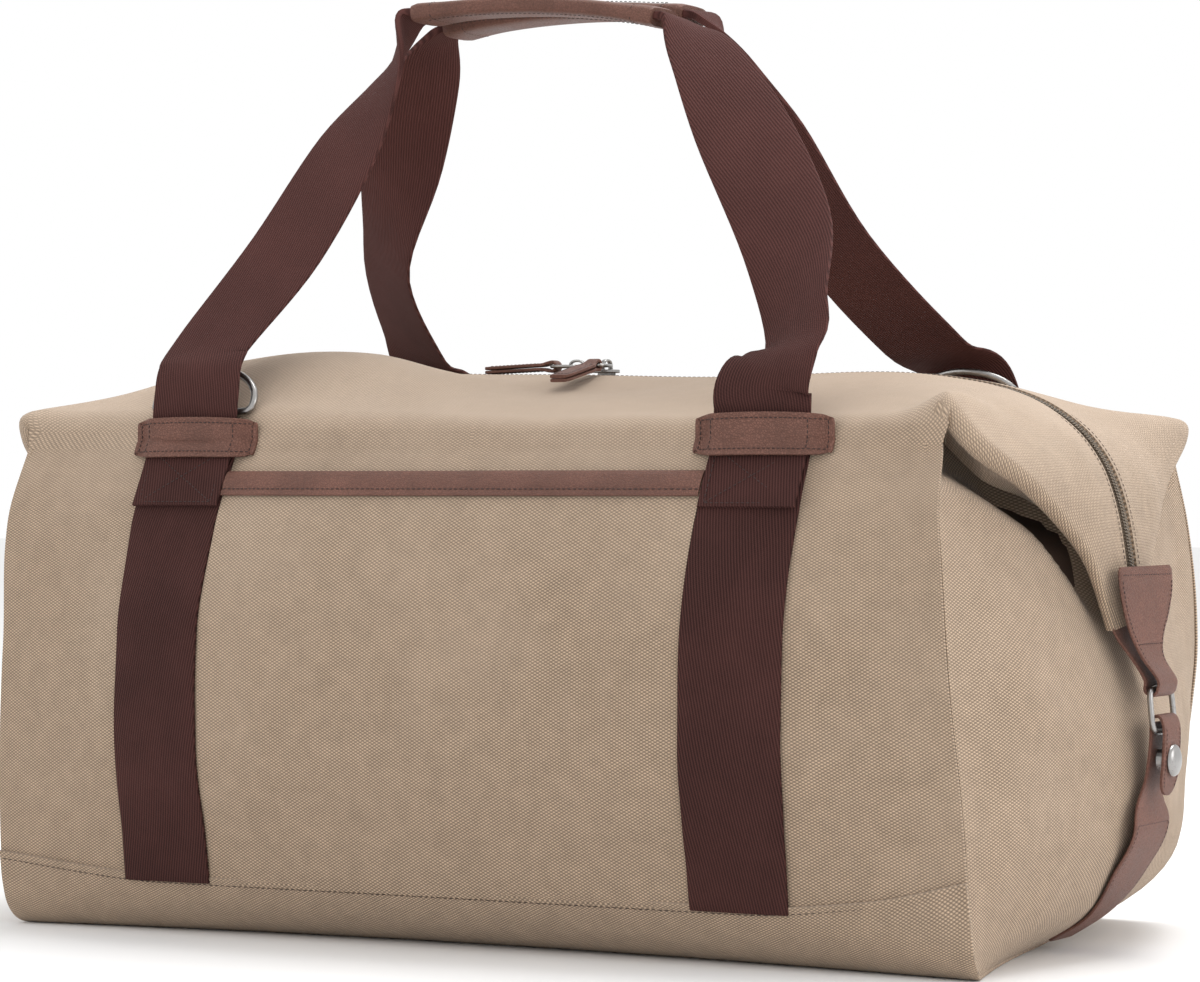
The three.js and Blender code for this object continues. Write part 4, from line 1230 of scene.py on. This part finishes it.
class DUFFEL_OT_pulls(PieceOperator, bpy.types.Operator):
    """Cast both zip sliders and hang a wire loop and a folded leather pull on each"""

    bl_idname = "duffel.pulls"
    bl_label = "Sliders and pulls"
    eye = 13.3

    def execute(self, context):
        for hand, sx in HANDS.items():
            low, high = node_box(f"slider_{hand}")
            mid = (low[0] + high[0]) / 2
            self.slider(hand, sx, mid)
            turn = math.pi if sx < 0 else -math.pi / 2
            self.loop(hand, turn, mid)
            self.pull(hand, turn, 0.04 if sx < 0 else 0.2, mid)
        return {"FINISHED"}

    @staticmethod
    def block(cuts, place):
        """A cube primitive whose corners and cuts are moved to place(x, y, z)."""
        bpy.ops.object.select_all(action="DESELECT")
        bpy.ops.mesh.primitive_cube_add(size=1.0)
        obj = bpy.context.object
        if cuts:
            edit(obj, ("subdivide", {"number_cuts": cuts}))
        for v in obj.data.vertices:
            v.co = Vector(place(*v.co)) * MM
        return obj

    def slider(self, hand, sx, mid):
        top = RIDGE + 1.0
        parts = []
        for z0, z1, wide in ((top, top + 1.7, 1.0), (RIDGE - 4.6, RIDGE - 3.0, 0.96)):

            def plate(x, y, z):
                nose = 1 - 0.42 * max(0.0, x * 2 * sx) ** 2
                return mid + x * 12, y * 10.8 * wide * nose, (z0 + z1) / 2 + z * (z1 - z0)

            obj = self.block(3, plate)
            modify(obj, "BEVEL", width=0.5 * MM, segments=2, limit_method="ANGLE")
            parts.append(obj)
        parts.append(self.block(0, lambda x, y, z: (mid + x * 10, y * 0.7, RIDGE - 1.1 + z * 4.4)))
        a = np.linspace(0, math.pi, 15)
        reach = 4.2 * np.cos(a) * (abs(np.cos(a)) ** -0.25).clip(0, 1.2)
        arch = lay(reach, 0 * a, top + 1.2 + 5.2 * np.sin(a) ** 0.6)
        if sx > 0:
            arch = arch[:, [1, 0, 2]]
        arch[:, 0] += mid
        parts.append(sweep("bail", arch, (0, 1, 0) if sx < 0 else (1, 0, 0), 2.4, 1.3, 0.6))
        for p in parts:
            p.select_set(True)
        bpy.context.view_layer.objects.active = parts[0]
        bpy.ops.object.join()
        obj = bpy.context.object
        obj.name = obj.data.name = f"zip_slider_{hand}"
        smooth(obj, 40)
        finish(obj, "metal", f"slider_{hand}", [f"slider_{hand}"])

    def placed(self, points, turn, droop, mid):
        """From the flat pull to where it lies: tipped about its eye, turned, set on its slider."""
        x, y, z = np.moveaxis(np.asarray(points, float) - [self.eye, 0, 0], -1, 0)
        c, s = math.cos(droop), math.sin(droop)
        x, z = c * x + s * z + self.eye, -s * x + c * z
        c, s = math.cos(turn), math.sin(turn)
        return lay(c * x - s * y, s * x + c * y, z) + [mid, 0, RIDGE + 4.6]

    def loop(self, hand, turn, mid):
        a = np.linspace(0, 2 * math.pi, 41)[:-1]
        wire = lay(6.9 + 7.1 * signed(np.cos(a), 0.75), 4.4 * signed(np.sin(a), 0.7), 0 * a)
        path = self.placed(wire, turn, 0, mid)
        obj = sweep(f"wire_loop_{hand}", path, (0, 0, 1), 1.6, 1.6, 1.0, True, 12)
        finish(obj, "metal", f"pull_loop_{hand}", [f"pull_loop_{hand}"])

    def pull(self, hand, turn, droop, mid):
        eye, t, reach = self.eye, 1.7, 38.0
        bend = 1.5 + t / 2
        half = [(reach, 1.0), (26, 1.05), (14, 1.1), (6, 1.15), (2.7, 1.9)]
        stations = [(eye + x, -z) for x, z in half]
        for a in -math.pi / 2 - np.linspace(0, math.pi, 7):
            stations.append((eye + bend * math.cos(a), bend * math.sin(a)))
        stations += [(eye + x, z) for x, z in half[::-1]]
        s = smooth_path([[x, 0, z] for x, z in stations], 4)
        wide = 6.4 + 4.8 * ramp((s[:, 0] - eye - 2) / 8)
        end = ramp((s[:, 0] - eye - reach + 2.2) / 2.2)
        path = self.placed(s, turn, droop, mid)
        way = self.placed(s + [0, 1, 0], turn, droop, mid) - path
        obj = sweep(f"leather_pull_{hand}", path, way, wide - 2.2 * end**2, t, 0.35, around=18)
        finish(obj, "leather", f"pull_{hand}", [f"pull_{hand}"])
        lines = []
        corners = [(8, -3.7), (35, -3.9), (35, 3.9), (8, 3.7), (8, -3.7)]
        k = np.linspace(0, 1, 12)
        for flip in (1, -1):
            for (xa, ya), (xb, yb) in zip(corners, corners[1:]):
                flat = lay(eye + xa + (xb - xa) * k, ya + (yb - ya) * k, flip * 1.92)
                lines.append((self.placed(flat, turn, droop, mid), (0, 0, float(flip))))
        sew(f"pull_stitches_{hand}", lines, f"pull_{hand}", pitch=2.2, thread=0.45, lift=0.0)


class DUFFEL_OT_end_trim(PieceOperator, bpy.types.Operator):
    """Hang the tab, ring, snapped flap and tapering leather strap on each end"""

    bl_idname = "duffel.end_trim"
    bl_label = "End straps and snaps"
    ring_top, ring_low = np.array([304.0, 126.0]), np.array([306.0, 105.5])

    def execute(self, context):
        for hand, sx in HANDS.items():
            self.tab(hand, sx)
            self.ring(hand, sx)
            self.strap(hand, sx)
            self.flap(hand, sx)
            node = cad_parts[f"snap_stud_{hand}"]
            node.data.materials.clear()
            node.data.materials.append(MATERIALS["metal"])
        return {"FINISHED"}

    @staticmethod
    def band(name, stations, width, sx, turn=0.0):
        """A leather band through (out, height) stations; width gives its breadth by height."""
        s = smooth_path([[x, 0, z] for x, z in stations], 5) * [sx, 1, 1]
        w = width(s[:, 2])
        way = lay(turn * sx * ramp((s[:, 2] - 132) / 30), 1 + 0 * w, 0 * w)
        return sweep(name, s, way, w, 1.8, 0.33, around=18), s, w

    def tab(self, hand, sx):
        (x, z), r = self.ring_top, 3.3
        outer = [(296.4, 183), (297.2, 172), (297.4, 160), (297.8, 150), (300.5, 140), (x + r, z + 4)]
        turn = [(x + r * math.cos(a), z + r * math.sin(a)) for a in -np.linspace(0, math.pi, 6)]
        inner = [(x - r, z + 4), (295, 140), (290, 150), (288.4, 162), (287.2, 174), (286.6, 181)]

        def width(z):
            return 24 + 28 * ramp((z - 132) / 46) - 4 * ramp((z - 180.5) / 3)

        obj, s, w = self.band(f"leather_tab_{hand}", outer + turn + inner, width, sx, turn=0.13)
        finish(obj, "leather", "shell", [f"end_tab_{hand}"])
        lines = []
        out = np.array([sx, -0.13, 0.12])
        facing = s[: len(outer) * 5]
        lean = 0.13 * sx * ramp((facing[:, 2] - 132) / 30)
        for z in (179, 146.5):
            k = int(np.argmin(abs(facing[:, 2] - z)))
            half = w[k] / 2 - 2.6
            y = np.linspace(-half, half, 20)
            lines.append((lay(y * lean[k] + facing[k, 0] + sx * 0.95, y, z), out))
        inside = (facing[:, 2] < 178) & (facing[:, 2] > 134)
        widths, lean = w[: len(facing)][inside], lean[inside]
        for e in (-1, 1):
            reach = e * (widths / 2 - 2.2)
            lines.append((facing[inside] + lay(reach * lean + sx * 0.95, reach, 0), out))
        sew(f"tab_stitches_{hand}", lines, "shell", pitch=2.2, thread=0.45, lift=0.0)

    def ring(self, hand, sx):
        a = np.linspace(0, 2 * math.pi, 49)[:-1]
        up = 0.5 * signed(np.sin(a), 0.45)
        x, z = ((self.ring_top + self.ring_low) / 2)[:, None] + (self.ring_top - self.ring_low)[:, None] * up
        path = lay(x * sx, 14.4 * signed(np.cos(a), 0.45), z)
        obj = sweep(f"wire_ring_{hand}", path, (sx, 0, 0.1), 2.8, 2.8, 1.0, True, 14)
        finish(obj, "metal", f"end_ring_{hand}", [f"end_ring_{hand}"])

    def strap(self, hand, sx):
        z = [6, 16, 27, 40, 52, 62]
        stations = [(float(end_reach(0.0, v, sx)) + 2.0 + 3 * bump(v, 60, 14), v) for v in z]
        stations += [(299.2, 74), (301.6, 88), (303, 100), (303.4, 110)]

        def width(z):
            return 21 + 23 * ramp((z - 6) / 36) * ramp((84 - z) / 22) + 8 * ramp((14 - z) / 8)

        obj, s, w = self.band(f"leather_end_strap_{hand}", stations, width, sx)
        finish(obj, "leather", "shell", [f"end_strap_{hand}"])
        out, proud = (sx, 0, 0), sx * 0.9
        k = int(np.argmin(abs(s[:, 2] - 63)))
        lines = [(lay(s[k, 0] + proud, np.linspace(2.4 - w[k] / 2, w[k] / 2 - 2.4, 24), s[k, 2]), out)]
        part = (s[:, 2] > 9) & (s[:, 2] < 63)
        for e in (-1, 1):
            lines.append((s[part] + lay(proud, e * (w[part] / 2 - 2.2), 0), out))
        sew(f"end_strap_stitches_{hand}", lines, "shell", pitch=2.4, thread=0.42, lift=0.0)

    def flap(self, hand, sx):
        body = f"snap_flap_{hand}"
        stations = [(304.9, 112.8), (307.6, 112.6), (309.4, 109.2), (309.9, 104), (309.7, 98), (309.0, 88)]
        stations += [(307.8, 80), (307.2, 75.6)]

        def width(z):
            return 21.2 * np.sqrt(np.clip(1 - (np.clip(86 - z, 0, 10.4) / 10.6) ** 2, 0.03, 1))

        obj, s, w = self.band(f"leather_flap_{hand}", stations, width, sx)
        finish(obj, "leather", body, [body])
        part = s[:, 2] < 108
        s, inner = s[part], np.maximum(w[part] / 2 - 2.0, 0.2)
        rise = 2.0 * ramp((80 - s[:, 2]) / 5)
        lines = [(s + lay(sx * 0.95, e * inner, rise), (sx, 0, 0)) for e in (-1, 1)]
        sew(f"flap_stitches_{hand}", lines, body, pitch=2.1, thread=0.42, lift=0.0)
        profile = [(0.01, 2.9), (3.2, 2.75), (5.4, 2.3), (6.9, 1.5), (7.5, 0.7), (7.6, 0.1), (7.2, -0.15)]
        profile += [(4, -0.2), (0.01, -0.2)]
        obj = turned(f"snap_button_{hand}", profile, (310.7 * sx, 0, 92), (sx, 0, 0))
        finish(obj, "metal", body, [f"snap_cap_{hand}"])


class DUFFEL_OT_shoulder_rings(PieceOperator, bpy.types.Operator):
    """Bend the two D rings and roll their webbing keepers"""

    bl_idname = "duffel.shoulder_rings"
    bl_label = "Shoulder-strap rings"

    def execute(self, context):
        lean, out, up = 0.45, 117.8, 257.4
        shape = [(-22, 0), (-12, 0), (0, 0), (12, 0), (22, 0), (26.6, 0.5), (28.8, 2.6)]
        shape += [(29 * math.cos(t), 6 + 18 * math.sin(t)) for t in np.linspace(0, math.pi, 21)]
        shape += [(-28.8, 2.6), (-26.6, 0.5)]
        x, h = np.array(shape).T
        a = np.linspace(0, 2 * math.pi, 33)[:-1]
        r = 3.4
        for face, side in SIDES.items():
            sx = -1 if face == "front" else 1
            path = lay(
                sx * (x * sx + STRAP_X), side * (out - h * math.sin(lean)), up + h * math.cos(lean)
            )
            way = (0, side * math.cos(lean), math.sin(lean))
            obj = sweep(f"d_ring_{face}", path, way, 3.6, 3.6, 1.0, True, 14)
            finish(obj, "metal", f"shoulder_ring_{face}", [f"shoulder_ring_{face}"])
            loop = lay(sx * STRAP_X, side * out + r * np.cos(a), up + r * np.sin(a))
            obj = sweep(f"webbing_keeper_{face}", loop, (1, 0, 0), 26, 1.6, 0.3, True, 14)
            finish(obj, "webbing", "shell", [f"ring_keeper_{face}"])
        return {"FINISHED"}


class DUFFEL_OT_stage(PieceOperator, bpy.types.Operator):
    """Set the pale floor, the soft lights and the camera"""

    bl_idname = "duffel.stage"
    bl_label = "Floor, lights and camera"

    @staticmethod
    def stand(data, place, way):
        """Put a lamp or camera in the studio, looking along a way."""
        obj = bpy.data.objects.new(data.name, data)
        bpy.context.scene.collection.objects.link(obj)
        obj.location = place
        obj.rotation_euler = Vector(way).to_track_quat("-Z", "Y").to_euler()
        return obj

    def execute(self, context):
        scene, s = context.scene, settings()
        bpy.ops.object.select_all(action="DESELECT")
        bpy.ops.mesh.primitive_grid_add(x_subdivisions=40, y_subdivisions=40, size=24.0)
        floor = bpy.context.object
        floor.name = "studio_floor"
        floor.data.materials.append(floor_material())
        world = bpy.data.worlds.new("Studio")
        scene.world = world
        world.use_nodes = True
        back = world.node_tree.nodes["Background"]
        back.inputs[0].default_value = (1.0, 1.0, 1.0, 1.0)
        back.inputs[1].default_value = s.sky_strength
        for name, place, size, power, aim in (
            ("top_light", (0.3, 0.9, 2.6), 1.6, 46, (0, 0, 0.2)),
            ("side_light", (2.9, 0.3, 1.2), 1.6, 24, (0.1, 0, 0.12)),
            ("front_light", (-1.9, -2.6, 1.9), 1.4, 9, (0, 0, 0.15)),
        ):
            lamp = bpy.data.lights.new(name, "AREA")
            lamp.size, lamp.energy = size, power
            self.stand(lamp, place, Vector(aim) - Vector(place))
        cam = bpy.data.cameras.new("camera")
        cam.sensor_width = 36.0
        cam.lens = 18.0 / math.tan(s.camera_angle / 2)
        cam.clip_start, cam.clip_end = 0.05, 60
        yaw, tilt = s.camera_yaw, s.camera_tilt
        way = (-math.sin(yaw) * math.cos(tilt), math.cos(yaw) * math.cos(tilt), -math.sin(tilt))
        scene.camera = self.stand(cam, s.camera_place, way)
        scene.view_settings.view_transform = "Standard"
        return {"FINISHED"}


class DuffelSettings(bpy.types.PropertyGroup):
    canvas_colour: bpy.props.FloatVectorProperty(
        name="Canvas", description="Colour of the washed canvas", subtype="COLOR",
        default=(0.375, 0.277, 0.196), min=0, max=1,
    )
    # pale colour used both for washed fading and for the painted light on the top and up-facing cloth
    faded_and_lit_colour: bpy.props.FloatVectorProperty(
        name="Faded and lit canvas", description="Colour where the canvas is worn pale", subtype="COLOR",
        default=(0.52, 0.405, 0.31), min=0, max=1,
    )
    webbing_colour: bpy.props.FloatVectorProperty(
        name="Webbing", description="Colour of the straps and handles", subtype="COLOR",
        default=(0.050, 0.0195, 0.017), min=0, max=1,
    )
    leather_colour: bpy.props.FloatVectorProperty(
        name="Leather", description="Colour of the leather trim", subtype="COLOR",
        default=(0.182, 0.086, 0.064), min=0, max=1,
    )
    metal_colour: bpy.props.FloatVectorProperty(
        name="Metal", description="Colour of the rings, sliders and snaps", subtype="COLOR",
        default=(0.36, 0.35, 0.34), min=0, max=1,
    )
    thread_colour: bpy.props.FloatVectorProperty(
        name="Thread", description="Colour of the stitching", subtype="COLOR",
        default=(0.030, 0.014, 0.012), min=0, max=1,
    )
    warp_spacing: bpy.props.FloatProperty(
        name="Warp spacing", description="Distance from one upright yarn to the next", unit="LENGTH",
        default=0.00135, min=0.0003, max=0.003, precision=5,
    )
    weft_spacing: bpy.props.FloatProperty(
        name="Weft spacing", description="Distance from one level yarn to the next", unit="LENGTH",
        default=0.00076, min=0.0003, max=0.003, precision=5,
    )
    stitch_pitch: bpy.props.FloatProperty(
        name="Stitch spacing", description="Distance from one stitch to the next", unit="LENGTH",
        default=0.0029, min=0.0015, max=0.006, precision=4,
    )
    sky_strength: bpy.props.FloatProperty(
        name="Studio white", description="Strength of the white surround", default=1.0, min=0, max=4,
    )
    camera_place: bpy.props.FloatVectorProperty(
        name="Camera place", description="Where the camera stands", subtype="TRANSLATION",
        unit="LENGTH", default=(0.992, -1.820, 0.221),
    )
    camera_yaw: bpy.props.FloatProperty(
        name="Camera turn", description="How far round the bag the camera looks", unit="ROTATION",
        default=math.radians(28.48),
    )
    camera_tilt: bpy.props.FloatProperty(
        name="Camera tilt", description="How far down the camera looks", unit="ROTATION",
        default=math.radians(0.08),
    )
    camera_angle: bpy.props.FloatProperty(
        name="Camera angle", description="Width of the view", unit="ROTATION",
        default=math.radians(16.64),
    )


STEPS = (
    DUFFEL_OT_materials, DUFFEL_OT_stage, DUFFEL_OT_cloth_shell, DUFFEL_OT_ends, DUFFEL_OT_base,
    DUFFEL_OT_inside, DUFFEL_OT_pocket, DUFFEL_OT_straps, DUFFEL_OT_handles, DUFFEL_OT_zip,
    DUFFEL_OT_pulls, DUFFEL_OT_end_trim, DUFFEL_OT_shoulder_rings,
)


class DUFFEL_PT_panel(bpy.types.Panel):
    """Sizes, colours and the steps that build the bag"""

    bl_idname = "DUFFEL_PT_panel"
    bl_label = "Canvas duffel bag"
    bl_space_type = "VIEW_3D"
    bl_region_type = "UI"
    bl_category = "Duffel"

    def draw(self, context):
        for name in DuffelSettings.__annotations__:
            self.layout.prop(context.scene.duffel_settings, name)
        for step in STEPS:
            self.layout.operator(step.bl_idname)


CLASSES = (DuffelSettings, *STEPS, DUFFEL_PT_panel)


def register():
    for c in CLASSES:
        bpy.utils.register_class(c)
    bpy.types.Scene.duffel_settings = bpy.props.PointerProperty(type=DuffelSettings)


def unregister():
    del bpy.types.Scene.duffel_settings
    for c in reversed(CLASSES):
        bpy.utils.unregister_class(c)


def main():
    register()
    for step in STEPS:
        group, name = step.bl_idname.split(".")
        getattr(getattr(bpy.ops, group), name)()


if __name__ == "__main__":
    main()
